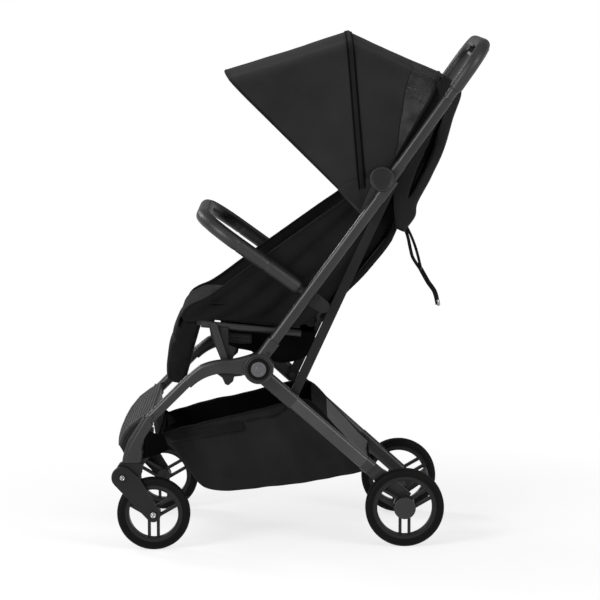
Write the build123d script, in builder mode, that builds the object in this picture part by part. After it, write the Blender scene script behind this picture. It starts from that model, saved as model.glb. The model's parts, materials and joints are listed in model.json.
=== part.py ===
# A compact folding baby stroller: x runs to the rear, y to the right-hand side, z up from the floor.
# The left-hand side is built first, at negative y, and mirrored for the right-hand side.
from build123d import *
import math
import os

os.makedirs("parts", exist_ok=True)

# Clearances
running_gap = 0.5
soft_gap = 0.3
bore_gap = 0.3

# Half the width over the middles of the side frames; the other widths follow it
frame_y = 216
front_wheel_y = frame_y - 2
leg_top_y = frame_y - 24
link_y = frame_y - 47
handle_y = frame_y - 19.5
canopy_y = frame_y - 32.6
seat_y = frame_y - 70
rail_y = frame_y - 31
bumper_y = frame_y - 26
basket_y = frame_y - 71

# Wheels
rear_wheel_radius = 79
rear_axle_x = 210
front_wheel_radius = 73
front_axle_x = -292
wheel_width = 26
tyre_depth = 15
tyre_round = 9
rim_depth = 9
rim_width = 20
spoke_pairs = 3
spoke_spread = 18
spoke_width = 6
spoke_thickness = 10
wheel_boss_radius = 14
axle_radius = 4
cap_radius = 22
cap_thickness = 4

# Side frames
tube_depth = 18
tube_corner = 8
tube_wall = 2
hub_x = -82
hub_z = 365
hub_radius = 30
hub_depth = 27
hub_ring_radius = 22
hub_disc_radius = 15
hub_cap_thickness = 3
rivet_radius = 4
upright_width = 22
upright_angle = 53.65
upright_offset = 8.5
upright_reach = 447.7
sleeve_margin = 2.5
hub_sleeve_length = 62
joint_offset = 19.2
joint_radius = 24
joint_depth = 23
joint_sleeve_length = 36
pin_radius = 5
pin_head_radius = 9
pin_head_thickness = 3

# Front legs and castors
front_leg_width = 21
front_leg_angle = 179
front_sleeve_length = 46
front_leg_level = 113
front_leg_drop_angle = 225
front_leg_run = 150
front_leg_bend = 110
castor_x = -334
boot_width = 26
boot_depth = 24
boot_base_z = 176
boot_base_width = 33
kingpin_radius = 5
kingpin_length = 16
castor_height = 38
castor_depth = 22
fork_pivot_x = -353
fork_pivot_z = 148
fork_heel_radius = 22
fork_end_radius = 15
fork_thickness = 8
wheel_gap = 2

# Footrest
footrest_line = [(-296, 277), (-320, 263), (-341, 247), (-355, 229), (-362, 208)]
footrest_bulge = 8
footrest_steps = 8
footrest_thickness = 5
footrest_web_half = basket_y - 5
footrest_web_drop = 10

# Rear legs
leg_angle = -41.5
leg_offset = -8.5
leg_splay = 34
leg_width = 27
leg_depth = 20
knuckle_depth = 21
leg_sleeve_length = 100
leg_tube_end = 288
bracket_boss_radius = 21
cross_tube_radius = 11
pedal_width = 90
pedal_reach = 52
pedal_thickness = 8

# Fold link bars
link_width = 19
link_thickness = 5
link_angle = 65.2
link_length = 476
link_along_leg = 95

# Handle
handle_width = 22
handle_angle = 54.6
handle_offset = -15.5
handle_tube_end = 202
handle_sleeve_length = 44
handle_bow_angle = 54.8
handle_bow_reach = 128
handle_corner = 62
bow_core_radius = 10
grip_radius = 13
grip_start = 22
button_length = 46
button_depth = 12
button_travel = 3

# Canopy
canopy_pivot_along = -77.6
canopy_pivot_across = -13.4
cloth_thickness = 3
bow_radius = 3.5
canopy_start = 26
canopy_corner = 62
canopy_crown = 14
front_bow_angle = 135.3
front_bow_reach = 391
mid_bow_angle = 94.7
mid_bow_reach = 355
rear_edge_angle = 60.2
rear_edge_reach = 314
bow_plate_length = 66
bow_plate_width = 9

# Seat
rail_radius = 7
rail_front_x = -197
rail_front_z = 450
rail_angle = -5.5
rail_length = 200
seat_board_thickness = 10.8
seat_pad_thickness = 26
seat_pad_crown = 8
pad_inset = 9
channel_depth = 7
channel_half = 9
wing_thickness = 10
strut_width = 14
strut_foot_reach = 64
strut_head_reach = 26
wing_top = [(-57, 591), (96, 697), (150, 690)]

# Backrest
backrest_hinge_x = 22
backrest_hinge_z = 447
backrest_angle = 51
backrest_lower = 240
headrest_angle = 67
backrest_upper = 165
backrest_rear = 16.5
board_thickness = 8
hinge_y = 104
hinge_depth = 18
hinge_radius = 11
backrest_front = 20
backrest_crown = 8

# Legrest
legrest_hinge_x = -222
legrest_hinge_z = 448
legrest_angle = 77.5
legrest_length = 133
legrest_top_radius = 21
legrest_pin_radius = 4
legrest_pin_reach = 6
legrest_lug_y = seat_y - 6
legrest_lug_radius = 7
lug_thickness = 6
lug_clearance = 1.5

# Bumper bar
bumper_pivot_x = 28
bumper_pivot_z = 500
bumper_angle = 144.2
bumper_reach = 274
bumper_corner = 80
bumper_core_radius = 9
bumper_cover_radius = 14.5
bumper_cover_start = 36
bumper_knuckle_radius = 15
bumper_knuckle_depth = 20
bumper_bracket_radius = 15
bumper_tab_reach = 22

# Basket
basket_wall = 3
basket_fold = 5
basket_front = -285
basket_open_end = 20
basket_stations = [
    (basket_front, 199, 218, 0),
    (-262, 191, 225, 1),
    (-232, 153, 233, -1),
    (-205, 113, 239, 1),
    (-176, 100, 245, -1),
    (-130, 100, 254, 1),
    (-80, 104, 265, -1),
    (-30, 110, 277, 1),
    (basket_open_end, 118, 268, -1),
    (70, 130, 224, 1),
    (118, 144, 180, 0),
    (140, 151, 161, 0),
]

# Harness and straps
strap_width = 25
strap_thickness = 3
buckle_size = 44
shoulder_y = 60
shoulder_start_reach = 60
shoulder_end_gap = 30


def along(start, angle, reach, across=0):
    turn = math.radians(angle)
    return (
        start[0] + reach * math.cos(turn) - across * math.sin(turn),
        start[1] + reach * math.sin(turn) + across * math.cos(turn),
    )


def side_plane(y, x=0, z=0):
    return Plane(origin=(x, y, z), x_dir=(1, 0, 0), z_dir=(0, -1, 0))


def cross_plane(point, angle):
    # Square to a direction of the side view, with local x to the right and local y across the direction
    turn = math.radians(angle)
    return Plane(origin=(point[0], 0, point[1]), x_dir=(0, 1, 0), z_dir=(math.cos(turn), 0, math.sin(turn)))


def save(piece, name):
    piece.label = name
    export_step(piece, f"parts/{name}.step")


def save_pair(piece, name):
    save(piece, f"{name}_left")
    save(mirror(piece, about=Plane.XZ), f"{name}_right")


def save_group(piece, name):
    with BuildPart() as group:
        add(piece)
        mirror(about=Plane.XZ)
    save(group.part, name)


def bar(start, end, width, depth, corner, wall=0):
    # A straight bar or tube between two points, its width seen in the side view
    run = Vector(*end) - Vector(*start)
    with BuildPart() as piece:
        with BuildSketch(Plane(origin=start, x_dir=run.cross(Vector(0, 1, 0)), z_dir=run)):
            RectangleRounded(width, depth, corner)
            if wall:
                RectangleRounded(width - 2 * wall, depth - 2 * wall, corner - wall, mode=Mode.SUBTRACT)
        extrude(amount=run.length)
    return piece.part


def disc(centre, inner, outer, radius, bore=0):
    # A disc on the left-hand side, from the inner to the outer distance from the middle
    with BuildPart() as piece:
        with BuildSketch(side_plane(-inner, *centre)):
            Circle(radius)
            if bore:
                Circle(bore, mode=Mode.SUBTRACT)
        extrude(amount=outer - inner)
    return piece.part


def plate(outline, radii, inner, outer):
    # A flat piece on the left-hand side, cut from an outline of the side view
    with BuildPart() as piece:
        with BuildSketch(side_plane(-inner)):
            with BuildLine():
                FilletPolyline(*outline, radius=radii, close=True)
            make_face()
        extrude(amount=outer - inner)
    return piece.part


def pin(centre, seat, end, radius, head_radius):
    # A pivot pin that stands on a piece at the seat and ends in a head nearer the middle
    with BuildPart() as piece:
        add(disc(centre, end, seat, radius))
        add(disc(centre, end - pin_head_thickness, end, head_radius))
    return piece.part


def bow(plane, half_width, start, reach, corner, radius, bore=0):
    # A U-shaped bow in one plane, from one leg over the crossbar to the other leg
    with BuildPart() as piece:
        with BuildLine(plane) as route:
            FilletPolyline(
                (-half_width, start),
                (-half_width, reach),
                (half_width, reach),
                (half_width, start),
                radius=corner,
            )
        with BuildSketch(Plane(origin=route.line @ 0, z_dir=route.line % 0)):
            Circle(radius)
            if bore:
                Circle(bore, mode=Mode.SUBTRACT)
        sweep()
    return piece.part


def cushion(stations):
    # A padded form through stations: place, direction, half width, back, front and crown
    with BuildPart() as piece:
        for place, angle, half, back, front, crown in stations:
            with BuildSketch(cross_plane(place, angle)):
                with BuildLine():
                    Polyline((-half, front), (-half, back), (half, back), (half, front))
                    ThreePointArc((half, front), (0, front + crown), (-half, front))
                make_face()
        loft(ruled=True)
    return piece.part


hub = (hub_x, hub_z)
upright_foot = along(hub, upright_angle, 0, upright_offset)
handle_joint = along(upright_foot, upright_angle, upright_reach, joint_offset)
frame_inner = frame_y - tube_depth / 2
frame_outer = frame_y + tube_depth / 2
hub_inner = frame_inner - 3.5
hub_outer = hub_inner + hub_depth


def at_frame(point):
    return (point[0], -frame_y, point[1])


# Main hubs: housing with its moulded sleeves and riveted pivot, cap
front_leg_start = along(hub, front_leg_angle, front_sleeve_length)
knuckle_outer = hub_inner - running_gap
knuckle_inner = knuckle_outer - knuckle_depth
upright_start = along(upright_foot, upright_angle, hub_sleeve_length)
sleeve_depth = tube_depth + 2 * sleeve_margin
with BuildPart() as hub_housing:
    add(disc(hub, hub_inner, hub_outer, hub_radius))
    add(
        bar(
            at_frame(upright_foot),
            at_frame(upright_start),
            upright_width + 2 * sleeve_margin,
            sleeve_depth,
            tube_corner,
        )
    )
    add(
        bar(
            at_frame(hub),
            at_frame(front_leg_start),
            front_leg_width + 2 * sleeve_margin,
            sleeve_depth,
            tube_corner,
        )
    )
    for spot in (
        along(upright_foot, upright_angle, hub_sleeve_length - 8),
        along(hub, front_leg_angle, front_sleeve_length - 8),
    ):
        add(disc(spot, frame_outer, frame_outer + sleeve_margin + 1.2, rivet_radius))
    add(pin(hub, hub_inner, knuckle_inner - running_gap, pin_radius + 1, pin_head_radius + 3))
save_group(hub_housing.part, "hub_housings")

with BuildPart() as hub_cap:
    add(disc(hub, hub_outer, hub_outer + hub_cap_thickness, hub_ring_radius))
    add(disc(hub, hub_outer, hub_outer + 2 * hub_cap_thickness, hub_disc_radius))
    fillet(hub_cap.edges().sort_by(Axis.Y)[0], hub_cap_thickness / 2)
save_group(hub_cap.part, "hub_caps")

# Uprights with the outer half of the handle joint
upright_end = along(upright_foot, upright_angle, upright_reach - joint_sleeve_length)
save_pair(
    bar(at_frame(upright_start), at_frame(upright_end), upright_width, tube_depth, tube_corner, tube_wall),
    "upright_tube",
)

joint_inner = frame_inner - 0.5
handle_inner = handle_y - tube_depth / 2
handle_outer = handle_y + tube_depth / 2
joint_top = along(upright_foot, upright_angle, upright_reach + joint_radius / 2)
with BuildPart() as upright_joint:
    add(disc(handle_joint, joint_inner, joint_inner + joint_depth, joint_radius))
    add(bar(at_frame(upright_end), at_frame(joint_top), upright_width + 2, tube_depth + 1, tube_corner))
    add(pin(handle_joint, joint_inner, handle_inner - running_gap, pin_radius, pin_head_radius))
save_group(upright_joint.part, "upright_joints")

# Front legs: bent tube, boot with kingpin
front_leg_corner = along(hub, front_leg_angle, front_leg_level)
front_leg_end = along(front_leg_corner, front_leg_drop_angle, front_leg_run)
with BuildPart() as front_leg:
    with BuildLine(side_plane(-frame_y)) as leg_route:
        FilletPolyline(front_leg_start, front_leg_corner, front_leg_end, radius=front_leg_bend)
    leg_way = leg_route.line % 0
    with BuildSketch(Plane(origin=leg_route.line @ 0, x_dir=leg_way.cross(Vector(0, 1, 0)), z_dir=leg_way)):
        RectangleRounded(front_leg_width, tube_depth, tube_corner)
        RectangleRounded(
            front_leg_width - 2 * tube_wall,
            tube_depth - 2 * tube_wall,
            tube_corner - tube_wall,
            mode=Mode.SUBTRACT,
        )
    sweep()
save_pair(front_leg.part, "front_leg_tube")

boot_inner = frame_y - boot_depth / 2
boot_outer = frame_y + boot_depth / 2
boot_front = along(front_leg_end, front_leg_drop_angle, 0, -boot_width / 2)
boot_back = along(front_leg_end, front_leg_drop_angle, 0, boot_width / 2)
boot_outline = [
    boot_front,
    (castor_x - boot_base_width / 2 + 4, boot_base_z + 38),
    (castor_x - boot_base_width / 2, boot_base_z),
    (castor_x + boot_base_width / 2, boot_base_z),
    (castor_x + boot_base_width / 2 + 4, boot_base_z + 44),
    boot_back,
]
with BuildPart() as front_boot:
    add(plate(boot_outline, [0, 60, 0, 0, 60, 0], boot_inner, boot_outer))
    fillet(front_boot.edges().filter_by(Axis.Y, reverse=True).group_by(Axis.Y)[0], 3)
    with BuildSketch(Plane(origin=(castor_x, -frame_y, boot_base_z))):
        Circle(kingpin_radius)
    extrude(amount=-kingpin_length)
save_group(front_boot.part, "front_boots")

# Front castors: housing with the fork's pivot, fork with axle stub
castor_top = boot_base_z - running_gap
castor_inner = frame_y - castor_depth / 2
castor_outer = frame_y + castor_depth / 2
front_axle = (front_axle_x, front_wheel_radius)
fork_pivot = (fork_pivot_x, fork_pivot_z)
fork_inner = front_wheel_y + wheel_width / 2 + wheel_gap
fork_outer = fork_inner + fork_thickness
castor_outline = [
    (castor_x - boot_base_width / 2 - 8, castor_top),
    (castor_x + boot_base_width / 2 + 4, castor_top),
    (castor_x + boot_base_width / 2 + 3, castor_top - 22),
    (castor_x - 8, castor_top - castor_height),
    (fork_pivot_x - 14, castor_top - castor_height),
    (fork_pivot_x - 14, castor_top - 14),
]
with BuildPart() as castor_housing:
    add(plate(castor_outline, [8, 3, 6, 8, 12, 8], castor_inner, castor_outer))
    with BuildSketch(Plane(origin=(castor_x, -frame_y, castor_top))):
        Circle(kingpin_radius + bore_gap)
    extrude(amount=-kingpin_length - running_gap, mode=Mode.SUBTRACT)
    add(disc(fork_pivot, castor_outer, fork_outer + bore_gap, axle_radius))
    add(disc(fork_pivot, fork_outer + bore_gap, fork_outer + bore_gap + 2.5, axle_radius + 3))
save_pair(castor_housing.part, "castor_housing")

with BuildPart() as front_fork:
    with BuildSketch(side_plane(-fork_inner)):
        with Locations(fork_pivot):
            Circle(fork_heel_radius)
        with Locations(along(fork_pivot, -25, 26)):
            Circle(fork_end_radius - 1)
        with Locations(front_axle):
            Circle(fork_end_radius)
        make_hull()
        with Locations(fork_pivot):
            Circle(axle_radius + bore_gap, mode=Mode.SUBTRACT)
    extrude(amount=fork_thickness)
    fillet(front_fork.edges().filter_by(Axis.Y, reverse=True).group_by(Axis.Y)[0], 2)
    add(disc(front_axle, front_wheel_y - wheel_width / 2, fork_inner, axle_radius))
    add(disc(front_axle, fork_outer, fork_outer + 2.5, axle_radius + 3))
save_pair(front_fork.part, "front_fork")

# Wheels
rear_axle = (rear_axle_x, rear_wheel_radius)
leg_length = (Vector(*rear_axle) - Vector(*hub)).length
bracket_y = leg_top_y - leg_splay
bracket_inner = bracket_y - leg_depth / 2
bracket_outer = bracket_y + leg_depth / 2
rear_wheel_y = bracket_outer + wheel_gap + wheel_width / 2


def save_wheel(name, axle, y, radius, boss_inner, boss_outer):
    rim_radius = radius - tyre_depth
    with BuildPart() as tyre:
        with BuildSketch(Plane(origin=(axle[0], -y, axle[1]))) as section:
            with Locations((radius - tyre_depth / 2, 0)):
                Rectangle(tyre_depth, wheel_width)
            fillet(section.vertices().group_by(Axis.X)[-1], tyre_round)
        revolve(axis=Axis((axle[0], -y, axle[1]), (0, 1, 0)))
    save_pair(tyre.part, f"{name}_tyre")
    spoke_length = rim_radius - rim_depth / 2 - axle_radius - 4
    with BuildPart() as rim:
        add(disc(axle, y - rim_width / 2, y + rim_width / 2, rim_radius, rim_radius - rim_depth))
        with BuildSketch(side_plane(-y + spoke_thickness / 2, *axle)):
            with PolarLocations(rim_radius - rim_depth / 2 - spoke_length / 2, spoke_pairs, start_angle=-90):
                with Locations((0, spoke_spread / 2), (0, -spoke_spread / 2)):
                    Rectangle(spoke_length, spoke_width)
        extrude(amount=spoke_thickness)
        add(disc(axle, boss_inner, boss_outer, wheel_boss_radius))
        add(disc(axle, boss_inner, boss_outer, axle_radius + bore_gap), mode=Mode.SUBTRACT)
    save_pair(rim.part, f"{name}_rim")


save_wheel(
    "front",
    front_axle,
    front_wheel_y,
    front_wheel_radius,
    front_wheel_y - wheel_width / 2,
    fork_inner - running_gap,
)
rear_boss_outer = rear_wheel_y + wheel_width / 2
save_wheel("rear", rear_axle, rear_wheel_y, rear_wheel_radius, bracket_outer + running_gap, rear_boss_outer)
with BuildPart() as rear_hub_cap:
    add(disc(rear_axle, rear_boss_outer, rear_boss_outer + cap_thickness, cap_radius))
    fillet(rear_hub_cap.edges().sort_by(Axis.Y)[0], cap_thickness / 2)
save_pair(rear_hub_cap.part, "rear_hub_cap")

# Footrest: a plate that bulges forward between the legs, with a web behind it that carries the basket
footrest_half = boot_inner - bore_gap


def footrest_section(share):
    # The plate's section at a share of its half width
    swell = footrest_bulge * (1 - share**2)
    top = []
    under = []
    for spot, (x, z) in enumerate(footrest_line):
        shift = swell * spot / (len(footrest_line) - 1)
        ahead = footrest_line[max(spot - 1, 0)]
        beyond = footrest_line[min(spot + 1, len(footrest_line) - 1)]
        angle = math.degrees(math.atan2(beyond[1] - ahead[1], beyond[0] - ahead[0]))
        top.append((x - shift, z))
        under.append(along((x - shift, z), angle, 0, footrest_thickness))
    with BuildSketch(side_plane(share * footrest_half)) as section:
        with BuildLine():
            Polyline(*top, *under[::-1], close=True)
        make_face()
    return section.sketch.face()


web_top = footrest_line[0]
web_outline = [
    (web_top[0] - 3, web_top[1] - 3),
    (web_top[0] + 3, web_top[1] - footrest_thickness),
    (basket_front - soft_gap, basket_stations[0][2] - footrest_web_drop),
    (basket_front - soft_gap - footrest_thickness, basket_stations[0][2] - footrest_web_drop),
]
with BuildPart() as footrest:
    shares = [2 * step / footrest_steps - 1 for step in range(footrest_steps + 1)]
    loft([footrest_section(share) for share in shares], ruled=True)
    add(plate(web_outline, 0, -footrest_web_half, footrest_web_half))
save(footrest.part, "footrest")

# Rear legs: knuckle, tube, lower bracket, axle rod, cross tube
leg_top = along(hub, leg_angle, 0, leg_offset)


def on_leg(reach):
    point = along(leg_top, leg_angle, reach)
    return (point[0], -leg_top_y + leg_splay * reach / leg_length, point[1])


link_foot = on_leg(link_along_leg)
link_pivot = (link_foot[0], link_foot[2])
link_inner = link_y - link_thickness / 2
with BuildPart() as rear_knuckle:
    add(bar(on_leg(0), on_leg(leg_sleeve_length), leg_width + 4, leg_depth + 2, tube_corner))
    add(disc(hub, knuckle_inner, knuckle_outer, hub_radius - 1))
    add(
        disc(hub, knuckle_inner - leg_depth, knuckle_outer + leg_depth, pin_radius + 1 + bore_gap),
        mode=Mode.SUBTRACT,
    )
    add(
        disc(hub, knuckle_inner - leg_depth, knuckle_inner, hub_radius),
        mode=Mode.SUBTRACT,
    )
    add(disc(hub, knuckle_outer, knuckle_outer + leg_depth, hub_radius * 2), mode=Mode.SUBTRACT)
    add(pin(link_pivot, -link_foot[1], link_inner - bore_gap, axle_radius, axle_radius + 3))
save_group(rear_knuckle.part, "rear_leg_knuckles")

save_pair(
    bar(on_leg(leg_sleeve_length), on_leg(leg_tube_end), leg_width, leg_depth, tube_corner, tube_wall),
    "rear_leg_tube",
)

with BuildPart() as rear_bracket:
    add(bar(on_leg(leg_tube_end), on_leg(leg_length - 6), leg_width + 2, leg_depth, tube_corner))
    add(disc(rear_axle, bracket_inner, bracket_outer, bracket_boss_radius))
    add(disc(rear_axle, bracket_outer, bracket_outer + leg_depth, leg_length / 4), mode=Mode.SUBTRACT)
    add(disc(rear_axle, 0, bracket_outer, axle_radius), mode=Mode.SUBTRACT)
save_group(rear_bracket.part, "rear_brackets")

save(disc(rear_axle, -rear_boss_outer + 1, rear_boss_outer - 1, axle_radius), "rear_axle_rod")
cross_half = bracket_inner - bore_gap
save(disc(rear_axle, -cross_half, cross_half, cross_tube_radius, axle_radius + bore_gap), "rear_cross_tube")

# Brake pedal, hinged on the cross tube
pedal_ring = cross_tube_radius + 5
pedal_root = along(rear_axle, 35, pedal_ring - 2)
pedal_outline = [
    along(pedal_root, 35, 0, -pedal_thickness / 2),
    along(pedal_root, 35, pedal_reach, -pedal_thickness / 2),
    along(pedal_root, 35, pedal_reach, pedal_thickness / 2),
    along(pedal_root, 35, 0, pedal_thickness / 2),
]
with BuildPart() as brake_pedal:
    add(disc(rear_axle, -pedal_width / 3, pedal_width / 3, pedal_ring))
    add(plate(pedal_outline, [0, 3, 3, 0], -pedal_width / 2, pedal_width / 2))
    add(disc(rear_axle, -pedal_width, pedal_width, cross_tube_radius + bore_gap), mode=Mode.SUBTRACT)
save(brake_pedal.part, "brake_pedal")

# Fold link bars, pinned to the rear leg knuckles
link_head = along(link_pivot, link_angle, link_length)
with BuildPart() as fold_link:
    with BuildSketch(side_plane(-link_inner)):
        with Locations(link_pivot, link_head):
            Circle(link_width / 2)
        make_hull()
        with Locations(link_pivot):
            Circle(axle_radius + bore_gap, mode=Mode.SUBTRACT)
    extrude(amount=link_thickness)
save_group(fold_link.part, "fold_links")

# Handle: inner half of the joint with its canopy arm and pin, tubes, bow, grip
handle_foot = along(handle_joint, handle_angle, 0, handle_offset)
handle_tube_foot = along(handle_foot, handle_angle, handle_sleeve_length)
handle_tube_top = along(handle_foot, handle_angle, handle_tube_end)
canopy_pivot = along(handle_joint, handle_angle, canopy_pivot_along, canopy_pivot_across)
bow_y = canopy_y - cloth_thickness - running_gap - bow_radius
mid_plate_inner = bow_y - bow_radius + 1
front_plate_inner = mid_plate_inner - running_gap - 6
arm_thickness = tube_depth / 2


def at_handle(point):
    return (point[0], -handle_y, point[1])


with BuildPart() as handle_knuckle:
    add(disc(handle_joint, handle_inner, handle_outer, joint_radius))
    add(bar(at_handle(handle_foot), at_handle(handle_tube_foot), handle_width + 2, tube_depth, tube_corner))
    with BuildSketch(side_plane(-handle_inner)):
        with Locations(handle_joint):
            Circle(joint_radius / 2)
        with Locations(canopy_pivot):
            Circle(pin_head_radius)
        make_hull()
    extrude(amount=arm_thickness)
    add(disc(handle_joint, handle_inner, handle_outer, pin_radius + bore_gap), mode=Mode.SUBTRACT)
    add(pin(canopy_pivot, handle_inner, front_plate_inner - running_gap, axle_radius - 1, axle_radius + 3))
save_group(handle_knuckle.part, "handle_knuckles")
save_group(
    bar(
        at_handle(handle_tube_foot),
        at_handle(handle_tube_top),
        handle_width,
        tube_depth,
        tube_corner,
        tube_wall,
    ),
    "handle_tubes",
)

handle_bow_plane = cross_plane(handle_tube_top, handle_bow_angle - 90)
bow_start = handle_width / 2 * math.tan(math.radians(handle_bow_angle - handle_angle)) + bore_gap
save(
    bow(
        handle_bow_plane,
        handle_y,
        bow_start,
        handle_bow_reach,
        handle_corner,
        bow_core_radius,
        bow_core_radius - tube_wall,
    ),
    "handle_bow",
)
save(
    bow(
        handle_bow_plane,
        handle_y,
        grip_start,
        handle_bow_reach,
        handle_corner,
        grip_radius,
        bow_core_radius + bore_gap / 3,
    ),
    "handle_grip",
)

# Fold button in its housing under the middle of the crossbar
housing_back = handle_bow_reach - grip_radius - bore_gap
with BuildPart() as button_housing:
    with BuildSketch(handle_bow_plane):
        with Locations((0, housing_back - button_depth / 2)):
            RectangleRounded(button_length + 18, button_depth, 3)
    extrude(amount=grip_radius, both=True)
    with BuildSketch(handle_bow_plane):
        with Locations((0, housing_back - button_depth)):
            Rectangle(button_length + 2 * running_gap, 2 * (button_depth - 3))
    extrude(amount=grip_radius / 2 + running_gap, both=True, mode=Mode.SUBTRACT)
save(button_housing.part, "fold_button_housing")
with BuildPart() as fold_button:
    with BuildSketch(handle_bow_plane):
        with Locations((0, housing_back - button_depth)):
            RectangleRounded(button_length, 2 * (button_depth - 3 - button_travel - bore_gap), 2)
    extrude(amount=grip_radius / 2, both=True)
save(fold_button.part, "fold_button")

# Canopy bows and cloth


def canopy_plane(angle):
    return cross_plane(canopy_pivot, angle - 90)


def canopy_bow(angle, reach, plate_inner, plate_outer):
    tip = along(canopy_pivot, angle, bow_plate_length)
    with BuildPart() as piece:
        add(
            bow(
                canopy_plane(angle),
                bow_y,
                bow_plate_length - 8,
                reach - canopy_crown - cloth_thickness - bow_radius - running_gap,
                canopy_corner - cloth_thickness - bow_radius,
                bow_radius,
            )
        )
        with BuildSketch(side_plane(-plate_inner)):
            with Locations(canopy_pivot):
                Circle(bow_plate_width / 2 + 3)
            with Locations(tip):
                Circle(bow_plate_width / 2)
            make_hull()
            with Locations(canopy_pivot):
                Circle(axle_radius - 1 + bore_gap, mode=Mode.SUBTRACT)
        extrude(amount=plate_outer - plate_inner)
        mirror(about=Plane.XZ)
    return piece.part


save(
    canopy_bow(front_bow_angle, front_bow_reach, front_plate_inner, mid_plate_inner - running_gap),
    "canopy_front_bow",
)
save(canopy_bow(mid_bow_angle, mid_bow_reach, mid_plate_inner, bow_y + bow_radius), "canopy_mid_bow")


def arch(angle, reach, inset):
    # The outline of the cloth in one bow's plane
    half = canopy_y - inset
    corner = canopy_corner - inset
    top = reach - inset
    shoulder = top - canopy_crown - corner
    bevel = corner * (1 - math.sqrt(0.5))
    foot = canopy_start - 2 * inset
    with BuildSketch(canopy_plane(angle)) as outline:
        with BuildLine():
            Polyline((-half, shoulder), (-half, foot), (half, foot), (half, shoulder))
            ThreePointArc(
                (half, shoulder),
                (half - bevel, shoulder + corner - bevel),
                (half - corner, shoulder + corner),
            )
            ThreePointArc((half - corner, shoulder + corner), (0, top), (corner - half, shoulder + corner))
            ThreePointArc(
                (corner - half, shoulder + corner),
                (bevel - half, shoulder + corner - bevel),
                (-half, shoulder),
            )
        make_face()
    return outline.sketch.face()


def canopy_cloth(first, second):
    with BuildPart() as cloth:
        loft([arch(*first, 0), arch(*second, 0)], ruled=True)
        loft([arch(*first, cloth_thickness), arch(*second, cloth_thickness)], ruled=True, mode=Mode.SUBTRACT)
    return cloth.part


cloth_seam = 0.3
save(
    canopy_cloth((front_bow_angle, front_bow_reach), (mid_bow_angle + cloth_seam, mid_bow_reach)),
    "canopy_front_cloth",
)
save(canopy_cloth((mid_bow_angle, mid_bow_reach), (rear_edge_angle, rear_edge_reach)), "canopy_rear_cloth")

# Seat frame: two rails on stubs from the uprights, two cross tubes, lugs and pins inside the legrest
rail_front = (rail_front_x, rail_front_z)
rail_back = along(rail_front, rail_angle, rail_length)
rail_stub = along(rail_front, rail_angle, 158)
legrest_hinge = (legrest_hinge_x, legrest_hinge_z)
cross_front = along(rail_front, rail_angle, 20)
cross_back = along(rail_front, rail_angle, rail_length - 50)
cross_radius = rail_radius - 2
legrest_half = seat_y + wing_thickness
rail_start = Plane(origin=(rail_front[0], -rail_y, rail_front[1]), z_dir=cross_plane(hub, rail_angle).z_dir)
pin_start = legrest_lug_y - legrest_pin_reach
pin_end = legrest_lug_y + lug_thickness + legrest_pin_reach
with BuildPart() as seat_frame:
    with BuildSketch(rail_start):
        Circle(rail_radius)
    extrude(amount=rail_length)
    add(disc(rail_stub, rail_y, frame_inner, rail_radius - 1))
    with BuildSketch(side_plane(-legrest_lug_y)):
        with Locations(legrest_hinge):
            Circle(legrest_lug_radius)
        with Locations(cross_front):
            Circle(cross_radius - 0.5)
        make_hull()
    extrude(amount=lug_thickness)
    add(disc(legrest_hinge, pin_start, pin_end, legrest_pin_radius))
    mirror(about=Plane.XZ)
    for spot in (cross_front, cross_back):
        add(disc(spot, -rail_y, rail_y, cross_radius))
save(seat_frame.part, "seat_frame")

strut_foot = along(hub, front_leg_angle, strut_foot_reach)
strut_head = along(rail_front, rail_angle, strut_head_reach)
strut_inner = rail_y + rail_radius + bore_gap
with BuildPart() as seat_strut:
    with BuildSketch(side_plane(-strut_inner)):
        with Locations(strut_foot, strut_head):
            Circle(strut_width / 2)
        make_hull()
    extrude(amount=frame_inner - strut_inner - 2)
    add(disc(strut_foot, frame_inner - 2, frame_inner, strut_width / 2))
save_group(seat_strut.part, "seat_struts")

# Seat board with the backrest's hinge lugs and pins, seat pad
backrest_hinge = (backrest_hinge_x, backrest_hinge_z)
board_bottom = cross_radius + 0.2
pad_bottom = board_bottom + seat_board_thickness + soft_gap
pad_front = along(rail_front, rail_angle, -5)
seat_length = rail_length + 2
with BuildPart() as seat_board:
    add(
        plate(
            [
                along(pad_front, rail_angle, 4, board_bottom),
                along(pad_front, rail_angle, seat_length, board_bottom),
                along(pad_front, rail_angle, seat_length, board_bottom + seat_board_thickness),
                along(pad_front, rail_angle, 4, board_bottom + seat_board_thickness),
            ],
            2,
            -seat_y,
            seat_y,
        )
    )
    lug_radius = seat_board_thickness / 3
    board_end = along(pad_front, rail_angle, seat_length - 8, board_bottom + lug_radius)
    for side in (1, -1):
        with BuildSketch(side_plane(side * hinge_y)):
            with Locations(backrest_hinge):
                Circle(hinge_radius - 4)
            with Locations(board_end):
                Circle(lug_radius)
            make_hull()
        extrude(amount=side * hinge_depth)
        with BuildSketch(side_plane(side * hinge_y, *backrest_hinge)):
            Circle(axle_radius)
        extrude(amount=-side * hinge_depth)
save(seat_board.part, "seat_board")


def padded(start, angle, length, half, back, front, crown, channels):
    # Stations of a pad with drawn-in ends and a channel at each given reach
    stations = [(start, angle, half - pad_inset, back, front - pad_inset, crown / 2)]
    stations.append((along(start, angle, pad_inset), angle, half, back, front, crown))
    for reach in channels:
        for step, sink in ((-channel_half, 0), (0, channel_depth), (channel_half, 0)):
            spot = along(start, angle, reach + step)
            stations.append((spot, angle, half - sink / 2, back, front - sink, crown))
    end = along(start, angle, length)
    stations.append((along(end, angle, -pad_inset), angle, half, back, front, crown))
    stations.append((end, angle, half - pad_inset, back, front - pad_inset, crown / 2))
    return stations


pad_top = pad_bottom + seat_pad_thickness
seat_channels = [70, 135]
seat_stations = padded(
    pad_front, rail_angle, seat_length, seat_y, pad_bottom, pad_top, seat_pad_crown, seat_channels
)
save(cushion(seat_stations), "seat_pad")

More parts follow.
